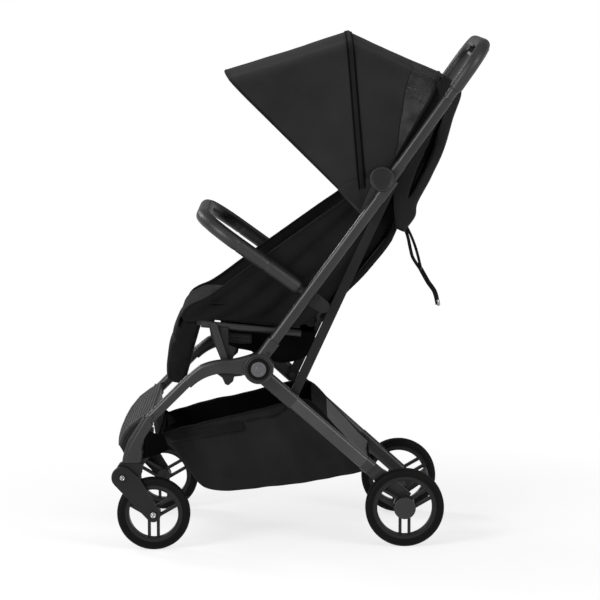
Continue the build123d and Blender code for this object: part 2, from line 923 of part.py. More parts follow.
# Side wings of the seat, hanging cloth with one soft fold along the seat
wing_inner = seat_y + soft_gap
wing_outer = wing_inner + wing_thickness
wing_bottom = board_bottom + seat_board_thickness
wing_outline = [
    along(pad_front, rail_angle, 2, wing_bottom - 9),
    along(pad_front, rail_angle, 2, wing_bottom + 26),
    *wing_top,
    along((backrest_hinge_x, backrest_hinge_z), backrest_angle, 90, -4),
    along(pad_front, rail_angle, seat_length, wing_bottom - 6),
]
wing_fold = 5
with BuildPart() as seat_wing:
    add(plate(wing_outline, [6, 14, 200, 30, 14, 60, 8], wing_inner, wing_outer))
    fillet(seat_wing.edges().filter_by(Axis.Y, reverse=True).group_by(Axis.Y)[0], 3)
    with BuildSketch(side_plane(-wing_outer)):
        with Locations((-30, 545)):
            SlotOverall(190, 2 * wing_fold, rotation=36)
        with Locations((40, 560)):
            SlotOverall(150, 2 * wing_fold, rotation=44)
    extrude(amount=-wing_fold / 2, mode=Mode.SUBTRACT)
save_pair(seat_wing.part, "seat_wing")

# Backrest board with its hinge barrels, backrest pad, both bent at the head end
backrest_bend = along(backrest_hinge, backrest_angle, backrest_lower)
backrest_top = along(backrest_bend, headrest_angle, backrest_upper)
bend_angle = (backrest_angle + headrest_angle) / 2
bend_stretch = 1 / math.cos(math.radians((headrest_angle - backrest_angle) / 2))


def backrest_line(offset):
    return [
        along(backrest_hinge, backrest_angle, 0, offset),
        along(backrest_bend, bend_angle, 0, offset * bend_stretch),
        along(backrest_top, headrest_angle, 0, offset),
    ]


board_front = board_thickness - backrest_rear
board_outline = backrest_line(-backrest_rear) + backrest_line(board_front)[::-1]
board_turns = [2, 0, 2, 2, 0, 2]
with BuildPart() as backrest_board:
    add(plate(board_outline, board_turns, -seat_y, seat_y))
    for side in (1, -1):
        with BuildSketch(side_plane(side * (hinge_y + bore_gap), *backrest_hinge)):
            Circle(hinge_radius)
        extrude(amount=-side * hinge_depth)
        with BuildSketch(side_plane(side * hinge_y, *backrest_hinge)):
            Circle(axle_radius + bore_gap)
        extrude(amount=-side * 2 * hinge_depth, mode=Mode.SUBTRACT)
save(backrest_board.part, "backrest_board")

pad_back = board_front + soft_gap
lower_pad = padded(
    along(backrest_hinge, backrest_angle, 36),
    backrest_angle,
    backrest_lower - 56,
    seat_y - 2,
    pad_back,
    backrest_front,
    backrest_crown,
    [70, 130],
)
upper_pad = padded(
    along(backrest_bend, headrest_angle, 14),
    headrest_angle,
    backrest_upper - 14,
    seat_y - 2,
    pad_back,
    backrest_front,
    backrest_crown,
    [74],
)
save(cushion(lower_pad[:-1] + upper_pad[1:]), "backrest_pad")

# Legrest pad, hung on the pins of the seat frame, with a slot round each lug
legrest_bottom = along(legrest_hinge, legrest_angle, -legrest_length)
top = legrest_top_radius
legrest_sections = [
    (0, legrest_half - pad_inset, -12, 12, 2),
    (8, legrest_half, -17, 19, 3),
    (36, legrest_half + 1, -16, 24, 3),
    (80, legrest_half + 1, -18, 28, 3),
    (92, legrest_half - 1, -19, 23, 3),
    (104, legrest_half, -20, 26, 3),
    (legrest_length, legrest_half, -top, top, 3),
    (legrest_length + top * 0.7, legrest_half, -top * 0.7, top * 0.6, 3),
    (legrest_length + top, legrest_half - 4, -5, 2, 2),
]
legrest_stations = [
    (along(legrest_bottom, legrest_angle, reach), legrest_angle, *section)
    for reach, *section in legrest_sections
]
slot_corner = -legrest_lug_radius - lug_clearance
with BuildPart() as legrest:
    add(cushion(legrest_stations))
    for side in (1, -1):
        with BuildSketch(side_plane(side * (pin_start - 1), *legrest_hinge)):
            Circle(legrest_pin_radius + bore_gap)
        extrude(amount=-side * (pin_end - pin_start + 2), mode=Mode.SUBTRACT)
        with BuildSketch(side_plane(side * (legrest_lug_y - lug_clearance), *legrest_hinge)):
            with Locations((slot_corner, slot_corner)):
                Rectangle(4 * top, 4 * top, align=(Align.MIN, Align.MIN))
        extrude(amount=-side * (lug_thickness + 2 * lug_clearance), mode=Mode.SUBTRACT)
save(legrest.part, "legrest_pad")

# Bumper bar: core with end knuckles, cover, brackets on the uprights with their pins
bumper_pivot = (bumper_pivot_x, bumper_pivot_z)
bumper_plane = cross_plane(bumper_pivot, bumper_angle - 90)
bracket_face = frame_inner
bracket_depth = 6
bumper_knuckle_outer = bracket_face - bracket_depth - running_gap
bumper_knuckle_inner = bumper_knuckle_outer - bumper_knuckle_depth
with BuildPart() as bumper_core:
    add(
        bow(
            bumper_plane,
            bumper_y,
            bumper_knuckle_radius - 4,
            bumper_reach,
            bumper_corner,
            bumper_core_radius,
        )
    )
    add(disc(bumper_pivot, bumper_knuckle_inner, bumper_knuckle_outer, bumper_knuckle_radius))
    add(disc(bumper_pivot, -bumper_knuckle_outer, -bumper_knuckle_inner, bumper_knuckle_radius))
    for side in (1, -1):
        with BuildSketch(side_plane(side * frame_inner, *bumper_pivot)):
            Circle(pin_radius + bore_gap)
        extrude(amount=side * tube_depth * 3, mode=Mode.SUBTRACT)
save(bumper_core.part, "bumper_core")
save(
    bow(
        bumper_plane,
        bumper_y,
        bumper_cover_start,
        bumper_reach,
        bumper_corner,
        bumper_cover_radius,
        bumper_core_radius + bore_gap / 3,
    ),
    "bumper_cover",
)
with BuildPart() as bumper_bracket:
    bracket_seat = bracket_face - bracket_depth
    with BuildSketch(side_plane(-bracket_seat)):
        with Locations(bumper_pivot):
            Circle(bumper_bracket_radius)
        with Locations(along(bumper_pivot, bumper_angle, -bumper_tab_reach)):
            Circle(bumper_bracket_radius - 2)
        make_hull()
    extrude(amount=bracket_depth)
    add(pin(bumper_pivot, bracket_seat, bumper_knuckle_inner - running_gap, pin_radius, pin_head_radius))
save_group(bumper_bracket.part, "bumper_brackets")

# Hanging rear flap of the canopy: a cloth pouch behind the backrest, open to the front
flap_y = seat_y + 14
flap_top = along(canopy_pivot, rear_edge_angle, rear_edge_reach - 1, -soft_gap)
flap_front_top = along(canopy_pivot, rear_edge_angle, rear_edge_reach - 18, -soft_gap)
flap_gap = 5
flap_front = [
    flap_front_top,
    along(canopy_pivot, rear_edge_angle, 100, -soft_gap),
    (190, 636),
]
flap_mouth = [
    along(flap_front_top, rear_edge_angle, 0, flap_gap),
    along(flap_front[1], rear_edge_angle, 0, 2 * flap_gap),
    (176, 618),
    along(backrest_bend, bend_angle, -12, -(backrest_rear + flap_gap) * bend_stretch),
    along(backrest_bend, bend_angle, 0, -(backrest_rear + flap_gap) * bend_stretch),
    along(backrest_top, headrest_angle, 6, -backrest_rear - flap_gap),
    along(flap_front_top, rear_edge_angle, 0, -flap_gap),
]
flap_back = [
    (207, 629),
    (229, 660),
    (233, 686),
    (258, 735),
    (285, 794),
    (303, 856),
    (321, 914),
    flap_top,
]
flap_turns = [0, 30, 0, 3, 14, 14, 60, 60, 60, 12, 0]
with BuildPart() as rear_flap:
    add(plate(flap_front + flap_back, flap_turns, -flap_y, flap_y))
    with BuildSketch(side_plane(flap_y - cloth_thickness)):
        with BuildLine():
            FilletPolyline(*flap_front, *flap_back, radius=flap_turns, close=True)
        make_face()
        offset(amount=-cloth_thickness, kind=Kind.INTERSECTION)
        with BuildLine():
            Polyline(*flap_mouth, close=True)
        make_face()
    extrude(amount=2 * (flap_y - cloth_thickness), mode=Mode.SUBTRACT)
save(rear_flap.part, "rear_flap")

# Recline strap: webbing that leaves the backrest board in two strands and hangs in one tail
strap_anchor = along(backrest_bend, backrest_angle, -18, -backrest_rear)
inner_strand = [strap_anchor, (205, 619), (222, 611), (226, 588), (229, 568), (247, 540)]
outer_strand = [strap_anchor, (209, 621), (230, 611), (237, 585), (248, 541)]
tail_strand = [(247, 541), (263, 514), (277, 493), (284, 465)]
strands = [
    (inner_strand, [10, 10, 30, 30]),
    (outer_strand, [10, 14, 60]),
    (tail_strand, [60, 40]),
]
with BuildPart() as recline_strap:
    with BuildSketch(side_plane(strap_width / 3)):
        for strand, turns in strands:
            with BuildLine() as strand_line:
                FilletPolyline(*strand, radius=turns)
            trace(strand_line.line, strap_thickness)
    extrude(amount=strap_width * 2 / 3)
    add(plate(board_outline, board_turns, -seat_y, seat_y), mode=Mode.SUBTRACT)
save(recline_strap.part, "recline_strap")

# Basket: a cloth trough with soft side folds, open at the top in front of its sloping rear panel
def basket_form(inset, rise):
    sections = []
    for x, bottom, hem, swell in basket_stations:
        reach = min(max(x, basket_stations[0][0] + inset), basket_stations[-1][0] - inset)
        half = basket_y - inset
        low = bottom + inset
        edge = hem + rise if x <= basket_open_end else hem - inset
        belly = half - 16 + swell * basket_fold
        with BuildSketch(Plane(origin=(reach, 0, 0), x_dir=(0, 1, 0), z_dir=(1, 0, 0))) as section:
            with BuildLine():
                Polyline(
                    (-half + 4, edge),
                    (-belly, (low + edge) / 2),
                    (-half + 34, low),
                    (half - 34, low),
                    (belly, (low + edge) / 2),
                    (half - 4, edge),
                    close=True,
                )
            make_face()
        sections.append(section.sketch.face())
    return sections


with BuildPart() as basket:
    loft(basket_form(0, 0), ruled=True)
    loft(basket_form(basket_wall, 1), ruled=True, mode=Mode.SUBTRACT)
save(basket.part, "basket")

# Harness: buckle, crotch and waist straps on the seat, shoulder straps on the backrest
harness_spot = along(pad_front, rail_angle, 102, pad_top + seat_pad_crown + soft_gap)
with BuildPart() as harness_buckle:
    with BuildSketch(cross_plane(harness_spot, rail_angle)):
        with Locations((0, 8)):
            RectangleRounded(buckle_size, 16, 5)
    extrude(amount=buckle_size * 0.6, both=True)
save(harness_buckle.part, "harness_buckle")
with BuildPart() as lap_straps:
    with BuildSketch(cross_plane(along(harness_spot, rail_angle, -buckle_size * 0.6 - 24), rail_angle)):
        with Locations((0, strap_thickness / 2)):
            Rectangle(strap_width, strap_thickness)
    extrude(amount=24)
    with BuildSketch(side_plane(-buckle_size / 2, *harness_spot)):
        with Locations((0, strap_thickness / 2)):
            Rectangle(strap_width, strap_thickness, rotation=rail_angle)
    extrude(amount=seat_y - buckle_size / 2 - 4)
    mirror(about=Plane.XZ)
save(lap_straps.part, "lap_straps")
shoulder_rise = backrest_front + backrest_crown - 2 * soft_gap
shoulder_start = along(backrest_hinge, backrest_angle, shoulder_start_reach, shoulder_rise)
with BuildPart() as shoulder_strap:
    with BuildSketch(cross_plane(shoulder_start, backrest_angle)):
        with Locations((-shoulder_y, strap_thickness)):
            RectangleRounded(strap_width + 12, 2 * strap_thickness, 2)
    extrude(amount=backrest_lower - shoulder_start_reach - shoulder_end_gap)
save_group(shoulder_strap.part, "shoulder_straps")
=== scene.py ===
import json
import math

import bmesh
import bpy
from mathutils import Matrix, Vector, noise


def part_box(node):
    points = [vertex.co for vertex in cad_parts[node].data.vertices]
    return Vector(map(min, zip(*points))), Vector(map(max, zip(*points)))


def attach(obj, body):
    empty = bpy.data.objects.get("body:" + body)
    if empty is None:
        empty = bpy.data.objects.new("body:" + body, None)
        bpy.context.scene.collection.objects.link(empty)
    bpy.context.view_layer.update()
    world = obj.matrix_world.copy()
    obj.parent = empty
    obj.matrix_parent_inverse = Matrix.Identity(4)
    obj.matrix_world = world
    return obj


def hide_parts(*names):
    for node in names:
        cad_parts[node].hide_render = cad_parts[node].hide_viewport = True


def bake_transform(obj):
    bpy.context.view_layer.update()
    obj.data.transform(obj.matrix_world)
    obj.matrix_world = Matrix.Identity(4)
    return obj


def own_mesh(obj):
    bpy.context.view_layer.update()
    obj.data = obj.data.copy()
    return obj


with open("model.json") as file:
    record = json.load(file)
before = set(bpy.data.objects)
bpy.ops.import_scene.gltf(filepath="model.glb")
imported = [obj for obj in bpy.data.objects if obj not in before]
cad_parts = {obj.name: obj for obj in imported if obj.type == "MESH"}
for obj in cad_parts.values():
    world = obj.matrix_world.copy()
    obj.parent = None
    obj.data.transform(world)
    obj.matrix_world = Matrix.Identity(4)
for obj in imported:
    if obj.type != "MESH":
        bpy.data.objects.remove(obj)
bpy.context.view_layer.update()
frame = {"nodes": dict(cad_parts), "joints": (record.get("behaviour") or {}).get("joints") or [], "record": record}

nodes = frame["nodes"]
scene = bpy.context.scene
hingeAt = {j["name"]: Vector(j["pos_m"]) for j in frame["joints"] if "pos_m" in j}
canopyPivot = hingeAt["canopy_fold"]
bothSides = {-1: "left", 1: "right"}
sideways = Vector((0, 1, 0))

photoView = {"place": (0.0, -5.72, 1.144), "pitch": 6.66, "lens": 168.0, "sensor": 36.0, "clip": 200}


def linked(name, data):
    piece = bpy.data.objects.new(name, data)
    scene.collection.objects.link(piece)
    return piece


def placeCamera():
    data = bpy.data.cameras.new("photoCamera")
    data.lens = photoView["lens"]
    data.sensor_width = photoView["sensor"]
    data.clip_end = photoView["clip"]
    camera = linked("photoCamera", data)
    camera.location = photoView["place"]
    camera.rotation_euler = (math.radians(90 - photoView["pitch"]), 0, 0)
    scene.camera = camera


placeCamera()
print("camera placed")


# small mesh tools
def editMesh(mesh, step):
    bm = bmesh.new()
    bm.from_mesh(mesh)
    step(bm)
    bm.to_mesh(mesh)
    bm.free()


def faceOut(bm):
    bmesh.ops.recalc_face_normals(bm, faces=bm.faces)


def closeEnds(bm):
    bmesh.ops.holes_fill(bm, edges=[e for e in bm.edges if e.is_boundary], sides=0)
    faceOut(bm)


def weld(gap):
    return lambda bm: bmesh.ops.remove_doubles(bm, verts=bm.verts, dist=gap)


def shadeFaces(mesh, smooth=True):
    for face in mesh.polygons:
        face.use_smooth = smooth


def newPiece(name, verts, faces, smooth=True):
    mesh = bpy.data.meshes.new(name)
    mesh.from_pydata([tuple(v) for v in verts], [], faces)
    mesh.update()
    editMesh(mesh, faceOut)
    shadeFaces(mesh, smooth)
    return linked(name, mesh)


def gridPiece(name, rows, wrap=False):
    across = len(rows[0])
    faces = []
    for i in range(len(rows) - 1):
        for j in range(across if wrap else across - 1):
            k = (j + 1) % across
            faces.append((i * across + j, i * across + k, (i + 1) * across + k, (i + 1) * across + j))
    return newPiece(name, [p for row in rows for p in row], faces)


def thicken(piece, depth):
    shell = piece.modifiers.new("cloth", "SOLIDIFY")
    shell.thickness = depth
    shell.offset = 0
    return piece


def clothPiece(name, rows, depth):
    return thicken(gridPiece(name, rows), depth)


def circle(count, extra=0):
    turns = [2 * math.pi * k / count for k in range(count + extra)]
    return [(math.cos(turn), math.sin(turn)) for turn in turns]


def wayAt(line, i):
    return (line[min(i + 1, len(line) - 1)] - line[max(i - 1, 0)]).normalized()


def tubePiece(name, points, radius, sides=8):
    # rings along a line, each square to it; radius may be a number or one per point
    rows = []
    side = None
    for i, p in enumerate(points):
        way = wayAt(points, i)
        if side is None:
            side = sideways if abs(way.y) < 0.9 else Vector((1, 0, 0))
        side = (side - way * side.dot(way)).normalized()
        up = way.cross(side)
        r = radius[i] if isinstance(radius, list) else radius
        rows.append([p + side * (c * r) + up * (s * r) for c, s in circle(sides)])
    piece = gridPiece(name, rows, wrap=True)
    editMesh(piece.data, closeEnds)
    return piece


def ringPiece(name, centre, axis, radius, thick, around=48, sides=8):
    middle = Vector(centre)
    axis = Vector(axis).normalized()
    side = axis.orthogonal().normalized()
    up = axis.cross(side)
    rows = []
    for c, s in circle(around, 1):
        out = side * c + up * s
        rows.append([middle + out * (radius + thick * a) + axis * (thick * b) for a, b in circle(sides)])
    piece = gridPiece(name, rows, wrap=True)
    editMesh(piece.data, weld(1e-6))
    return piece


def lathePiece(name, centre, profile, side, around=56):
    # a turned face about the y axis, from (radius, height) pairs
    middle = Vector(centre)
    rows = [[middle + Vector((r * c, side * h, r * s)) for c, s in circle(around)] for r, h in profile]
    return gridPiece(name, rows, wrap=True)


def platePiece(name, outline, near, far):
    # a flat outline in the side view, given depth from one y to another and softened edges
    n = len(outline)
    verts = [(x, near, z) for x, z in outline] + [(x, far, z) for x, z in outline]
    faces = [tuple(range(n)), tuple(range(2 * n - 1, n - 1, -1))]
    faces += [(i, (i + 1) % n, n + (i + 1) % n, n + i) for i in range(n)]
    piece = newPiece(name, verts, faces, smooth=False)
    edge = piece.modifiers.new("edge", "BEVEL")
    edge.width = 0.0016
    edge.segments = 3
    return piece


def joinPieces(name, pieces):
    bm = bmesh.new()
    for piece in pieces:
        bm.from_mesh(piece.data)
    mesh = bpy.data.meshes.new(name)
    bm.to_mesh(mesh)
    bm.free()
    shadeFaces(mesh)
    for piece in pieces:
        bpy.data.objects.remove(piece)
    return linked(name, mesh)


def along(start, angle, reach, across=0.0):
    # a side-view point in metres: along a direction in degrees and across it
    turn = math.radians(angle)
    return (
        start[0] + reach * math.cos(turn) - across * math.sin(turn),
        start[1] + reach * math.sin(turn) + across * math.cos(turn),
    )


def smoothLine(points, steps):
    # a spline through the points, for soft outlines
    line = []
    pts = [Vector(p) for p in points]
    for i in range(len(pts) - 1):
        a = pts[max(i - 1, 0)]
        b, c = pts[i], pts[i + 1]
        d = pts[min(i + 2, len(pts) - 1)]
        for k in range(steps):
            t = k / steps
            square = (2 * a - 5 * b + 4 * c - d) * t * t
            line.append(0.5 * ((2 * b) + (c - a) * t + square + (3 * b - a - 3 * c + d) * t ** 3))
    line.append(pts[-1])
    return line


def evenLine(points, count):
    # the same line with evenly spaced points
    pts = [Vector(p) for p in points]
    reach = [0.0]
    for a, b in zip(pts, pts[1:]):
        reach.append(reach[-1] + (b - a).length)
    line = []
    i = 0
    for k in range(count):
        goal = reach[-1] * k / (count - 1)
        while i < len(pts) - 2 and reach[i + 1] < goal:
            i += 1
        span = reach[i + 1] - reach[i]
        t = 0 if span == 0 else (goal - reach[i]) / span
        line.append(pts[i].lerp(pts[i + 1], min(max(t, 0), 1)))
    return line


def sideLine(marks, steps, count):
    # an even, smooth line in the middle plane, from side-view marks
    return evenLine(smoothLine([Vector((x, 0, z)) for x, z in marks], steps), count)


# finishes, each with its own nodes
surfaceLook = {
    "stops": (0.3, 0.72), "cloudDetail": 5, "wear": 3.1,
    "bands": 0.314, "drift": 0.6, "threadTurns": (12, 102), "threadLean": 20, "threadDeep": 0.0004,
    "creaseDetail": 4, "creaseDeep": 0.004, "grainDetail": 2, "grainDeep": 0.0005, "pebbleDeep": 0.0006,
    "dents": (60, 2, 0.05, 0.001), "wrinkles": (90, 3, 0.12, 0.002),  # scale, detail, strength, depth
    "netMix": 0.15, "netEdge": (0.3, 0.42), "netBump": (0.3, 0.0008),
}


def setSockets(tree, node, sockets):
    # another node's output is wired, anything else is a fixed value
    for name, value in sockets.items():
        if isinstance(value, bpy.types.NodeSocket):
            tree.links.new(value, node.inputs[name])
        else:
            node.inputs[name].default_value = value
    return node


def addNode(tree, kind, sockets):
    return setSockets(tree, tree.nodes.new("ShaderNode" + kind), sockets)


def addMath(tree, operation, first, second):
    node = addNode(tree, "Math", {0: first, 1: second})
    node.operation = operation
    return node.outputs["Value"]


def noiseHeight(tree, spot, scale, detail):
    return addNode(tree, "TexNoise", {"Vector": spot, "Scale": scale, "Detail": detail}).outputs["Fac"]


def startFinish(name, look):
    # broad colour change and roughness change from one noise each
    mat = bpy.data.materials.new(name)
    mat.use_nodes = True
    tree = mat.node_tree
    spot = addNode(tree, "TexCoord", {}).outputs["Object"]
    ramp = addNode(tree, "ValToRGB", {"Fac": noiseHeight(tree, spot, look["cloud"], surfaceLook["cloudDetail"])})
    for stop, place, tone in zip(ramp.color_ramp.elements, surfaceLook["stops"], ("dark", "light")):
        stop.position = place
        stop.color = (*look[tone], 1)
    wear = addNode(tree, "TexNoise", {"Vector": spot, "Scale": look["cloud"] * surfaceLook["wear"]})
    low, high = look["rough"]
    span = addNode(tree, "MapRange", {"Value": wear.outputs["Fac"], "To Min": low, "To Max": high})
    shader = setSockets(tree, tree.nodes["Principled BSDF"], {
        "Base Color": ramp.outputs["Color"], "Roughness": span.outputs["Result"],
        "Specular IOR Level": look["gloss"], "Metallic": look.get("metal", 0.0),
        "Sheen Weight": look.get("sheen", 0.0),
    })
    return mat, tree, shader, spot


def addBump(tree, shader, height, strength, distance, previous=None):
    bump = addNode(tree, "Bump", {"Height": height, "Strength": strength, "Distance": distance})
    if previous:
        setSockets(tree, bump, {"Normal": previous.outputs["Normal"]})
    setSockets(tree, shader, {"Normal": bump.outputs["Normal"]})
    return bump


def noiseBump(tree, shader, spot, waves, previous):
    scale, detail, strength, distance = waves
    addBump(tree, shader, noiseHeight(tree, spot, scale, detail), strength, distance, previous)


def threadHeight(tree, spot, pitch, turn):
    # one set of threads, as bands across the cloth
    lean = math.radians(surfaceLook["threadLean"])
    turned = addNode(tree, "Mapping", {"Vector": spot, "Rotation": (0, math.radians(turn), lean)})
    band = addNode(tree, "TexWave", {
        "Vector": turned.outputs["Vector"], "Scale": surfaceLook["bands"] / pitch,
        "Distortion": surfaceLook["drift"], "Detail": 1,
    })
    return band.outputs["Fac"]


def wovenFinish(name, look):
    mat, tree, shader, spot = startFinish(name, look)
    warp, weft = (threadHeight(tree, spot, look["pitch"], turn) for turn in surfaceLook["threadTurns"])
    weave = addMath(tree, "MULTIPLY", warp, weft)
    first = addBump(tree, shader, weave, look["weave"], surfaceLook["threadDeep"])
    waves = (look["crease"], surfaceLook["creaseDetail"], look["creaseDepth"], surfaceLook["creaseDeep"])
    noiseBump(tree, shader, spot, waves, first)
    return mat


def mouldedFinish(name, look):
    mat, tree, shader, spot = startFinish(name, look)
    grain = noiseHeight(tree, spot, look["grain"], surfaceLook["grainDetail"])
    first = addBump(tree, shader, grain, look["grainDepth"], surfaceLook["grainDeep"])
    noiseBump(tree, shader, spot, surfaceLook["dents"], first)
    return mat


def leatherFinish(name, look):
    mat, tree, shader, spot = startFinish(name, look)
    cells = addNode(tree, "TexVoronoi", {"Vector": spot, "Scale": look["grain"]})
    cells.feature = "SMOOTH_F1"
    first = addBump(tree, shader, cells.outputs["Distance"], look["grainDepth"], surfaceLook["pebbleDeep"])
    noiseBump(tree, shader, spot, surfaceLook["wrinkles"], first)
    return mat


def meshFinish(name, look):
    # open net: small holes let the light through
    mat, tree, shader, spot = startFinish(name, look)
    sockets = {"Vector": spot, "Scale": look["holes"], "Randomness": surfaceLook["netMix"]}
    gap = addNode(tree, "TexVoronoi", sockets).outputs["Distance"]
    near, far = surfaceLook["netEdge"]
    span = addNode(tree, "MapRange", {"Value": gap, "From Min": near, "From Max": far, "To Min": look["clear"]})
    setSockets(tree, shader, {"Alpha": span.outputs["Result"]})
    addBump(tree, shader, gap, *surfaceLook["netBump"])
    return mat


canvasLook = {
    "dark": (0.0049, 0.0049, 0.0051), "light": (0.0084, 0.0084, 0.0087), "cloud": 9.0, "rough": (0.8, 0.94),
    "pitch": 0.0011, "weave": 0.35, "crease": 26.0, "creaseDepth": 0.12, "sheen": 0.035, "gloss": 0.07,
}
hoodLook = dict(canvasLook, dark=(0.011, 0.011, 0.0113), light=(0.0165, 0.0165, 0.017))
basketClothLook = dict(
    canvasLook, dark=(0.0085, 0.0085, 0.0088), light=(0.013, 0.013, 0.0134), creaseDepth=0.2,
)
paddingLook = dict(
    canvasLook, dark=(0.0032, 0.0032, 0.0034), light=(0.0052, 0.0052, 0.0055), crease=18.0, creaseDepth=0.16,
)
# near-black cloth: real lining and seams, and painted shade in the flap's slit, inside the basket and at the rear
# panel's front
liningAndShadeLook = dict(
    canvasLook, dark=(0.0012, 0.0012, 0.0012), light=(0.0022, 0.0022, 0.0022), sheen=0.01, gloss=0.03,
)
# painted light: a much lighter copy of the canvas, for the basket's upward-facing rear panel
litPanelLook = dict(canvasLook, dark=(0.064, 0.064, 0.0645), light=(0.09, 0.09, 0.091))
webbingLook = dict(
    canvasLook, dark=(0.0045, 0.0045, 0.0047), light=(0.009, 0.009, 0.0095),
    pitch=0.0022, weave=0.8, creaseDepth=0.03,
)
threadLook = dict(webbingLook, dark=(0.009, 0.009, 0.009), light=(0.018, 0.018, 0.018))
netLook = {
    "dark": (0.008, 0.008, 0.008), "light": (0.035, 0.035, 0.035), "cloud": 30.0, "rough": (0.6, 0.8),
    "holes": 420.0, "clear": 0.45, "gloss": 0.2,
}
paintLook = {
    "dark": (0.0095, 0.0095, 0.0098), "light": (0.0145, 0.0145, 0.015), "cloud": 14.0, "rough": (0.34, 0.44),
    "grain": 900.0, "grainDepth": 0.06, "gloss": 0.42,
}
# painted light: a lighter copy of the powder coat, for the rear leg tubes
litLegPaintLook = dict(paintLook, dark=(0.024, 0.024, 0.0245), light=(0.035, 0.035, 0.036))
mouldLook = dict(
    paintLook, dark=(0.0038, 0.0038, 0.004), light=(0.0064, 0.0064, 0.0066), rough=(0.42, 0.54),
    grain=1300.0, grainDepth=0.12, gloss=0.26,
)
bootLook = dict(paintLook, rough=(0.36, 0.46), grain=1300.0, grainDepth=0.12)
capLook = dict(mouldLook, dark=(0.05, 0.05, 0.052), light=(0.08, 0.08, 0.084), rough=(0.3, 0.42))
rimLook = dict(mouldLook, rough=(0.36, 0.48), gloss=0.3)
tyreLook = dict(
    mouldLook, dark=(0.0018, 0.0017, 0.0016), light=(0.0036, 0.0034, 0.0032), rough=(0.55, 0.66),
    grain=700.0, grainDepth=0.2, gloss=0.09,
)
treadLook = dict(mouldLook, dark=(0.022, 0.022, 0.0225), light=(0.034, 0.034, 0.035), rough=(0.5, 0.62))
steelLook = dict(paintLook, dark=(0.32, 0.32, 0.33), light=(0.45, 0.45, 0.46), rough=(0.25, 0.4), metal=1.0)
buttonLook = dict(mouldLook, dark=(0.2, 0.2, 0.21), light=(0.3, 0.3, 0.31), rough=(0.45, 0.55))
leatherLook = {
    "dark": (0.0075, 0.0075, 0.0075), "light": (0.0125, 0.0124, 0.0122), "cloud": 16.0, "rough": (0.4, 0.54),
    "grain": 520.0, "grainDepth": 0.3, "gloss": 0.46,
}

canvas = wovenFinish("canvasCloth", canvasLook)
hoodCloth = wovenFinish("hoodCloth", hoodLook)
basketCloth = wovenFinish("basketCloth", basketClothLook)
padding = wovenFinish("paddedCloth", paddingLook)
liningAndShade = wovenFinish("liningAndShadeCloth", liningAndShadeLook)
litPanelCloth = wovenFinish("litPanelCloth", litPanelLook)
webbing = wovenFinish("strapWebbing", webbingLook)
thread = wovenFinish("seamThread", threadLook)
net = meshFinish("ventNet", netLook)
paint = mouldedFinish("powderCoat", paintLook)
litLegPaint = mouldedFinish("litLegCoat", litLegPaintLook)
mould = mouldedFinish("mouldedBlack", mouldLook)
bootFinish = mouldedFinish("mouldedBoot", bootLook)
capFinish = mouldedFinish("mouldedCap", capLook)
rimFinish = mouldedFinish("wheelRim", rimLook)
tyreFinish = mouldedFinish("tyreFoam", tyreLook)
treadGrey = mouldedFinish("footrestGrey", treadLook)
steel = mouldedFinish("axleSteel", steelLook)
buttonGrey = mouldedFinish("releaseGrey", buttonLook)
leather = leatherFinish("gripLeather", leatherLook)
print("finishes made")

slotFinish = {
    "frame_paint": paint, "hub_plastic": mould, "cap_plastic": capFinish, "canvas": canvas,
    "padding": padding, "grip_leather": leather, "tyre_rubber": tyreFinish, "rim_plastic": rimFinish,
    "axle_steel": steel, "webbing": webbing, "buckle_plastic": mould, "board_plastic": mould,
    "button_plastic": buttonGrey, "footrest_plastic": treadGrey,
}
bootNodes = (
    "front_boots", "hub_housings", "upright_joints", "rear_leg_knuckles", "rear_brackets", "handle_knuckles",
    "rear_hub_cap_left", "rear_hub_cap_right",
)
# the rear leg tubes take the lighter coat copy, as painted light
nodeFinish = {
    "hub_caps": tyreFinish, "fold_links": mould, "bumper_brackets": mould,
    "rear_leg_tube_left": litLegPaint, "rear_leg_tube_right": litLegPaint, **dict.fromkeys(bootNodes, bootFinish),
}
for part in frame["record"]["subparts"]:
    solid = nodes[part["node"]]
    solid.data.materials.clear()
    solid.data.materials.append(nodeFinish.get(part["node"], slotFinish[part["material_slot"]]))
print("solids painted")


def dress(piece, body, slot, *finishes):
    piece.data.materials.clear()
    for one in finishes:
        piece.data.materials.append(one)
    if body:
        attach(piece, body)
    return piece


# canopy: one cloth over three bows, in a front and a rear piece
canopyLook = {
    "half": 0.1834, "corner": 0.062, "crown": 0.014, "foot": 0.05, "heart": 0.12,
    "front": (135.3, 0.391), "mid": (94.7, 0.355), "rear": (60.2, 0.314),  # turn and reach of each bow
    "sag": 0.002, "fullSag": 0.3, "ripples": ((0.0009, 14), (0.0005, 37)), "thick": 0.0022,
    "frontLift": 0.0016, "rearLift": 0.0002, "rows": 22, "steps": (16, 8, 18),
    "windowRow": 14, "netRows": 8, "openTo": 0.95,
    "window": [(0.0, 0.96), (0.13, 0.96), (0.17, 0.9), (0.216, 0.79), (0.299, 0.69), (0.5, 0.69)],
    "zip": (0.0058, 0.0066), "zipLift": (0.0024, 0.0032, 0.0034, 0.003, 0.002), "zipThick": 0.0014,
    "binding": (0.0032, 0.0026), "seam": 0.0021, "windowEdge": 0.0016,
}
gussetLook = {
    "near": 0.006, "far": 0.07, "before": 14, "sweep": 17, "rows": 24, "steps": 8,
    "y": 0.1872, "ripple": (0.0007, 0.9), "lean": 0.0022, "thick": 0.0018,
}
canopyHeart = Vector((canopyPivot.x, 0, canopyPivot.z + canopyLook["heart"]))


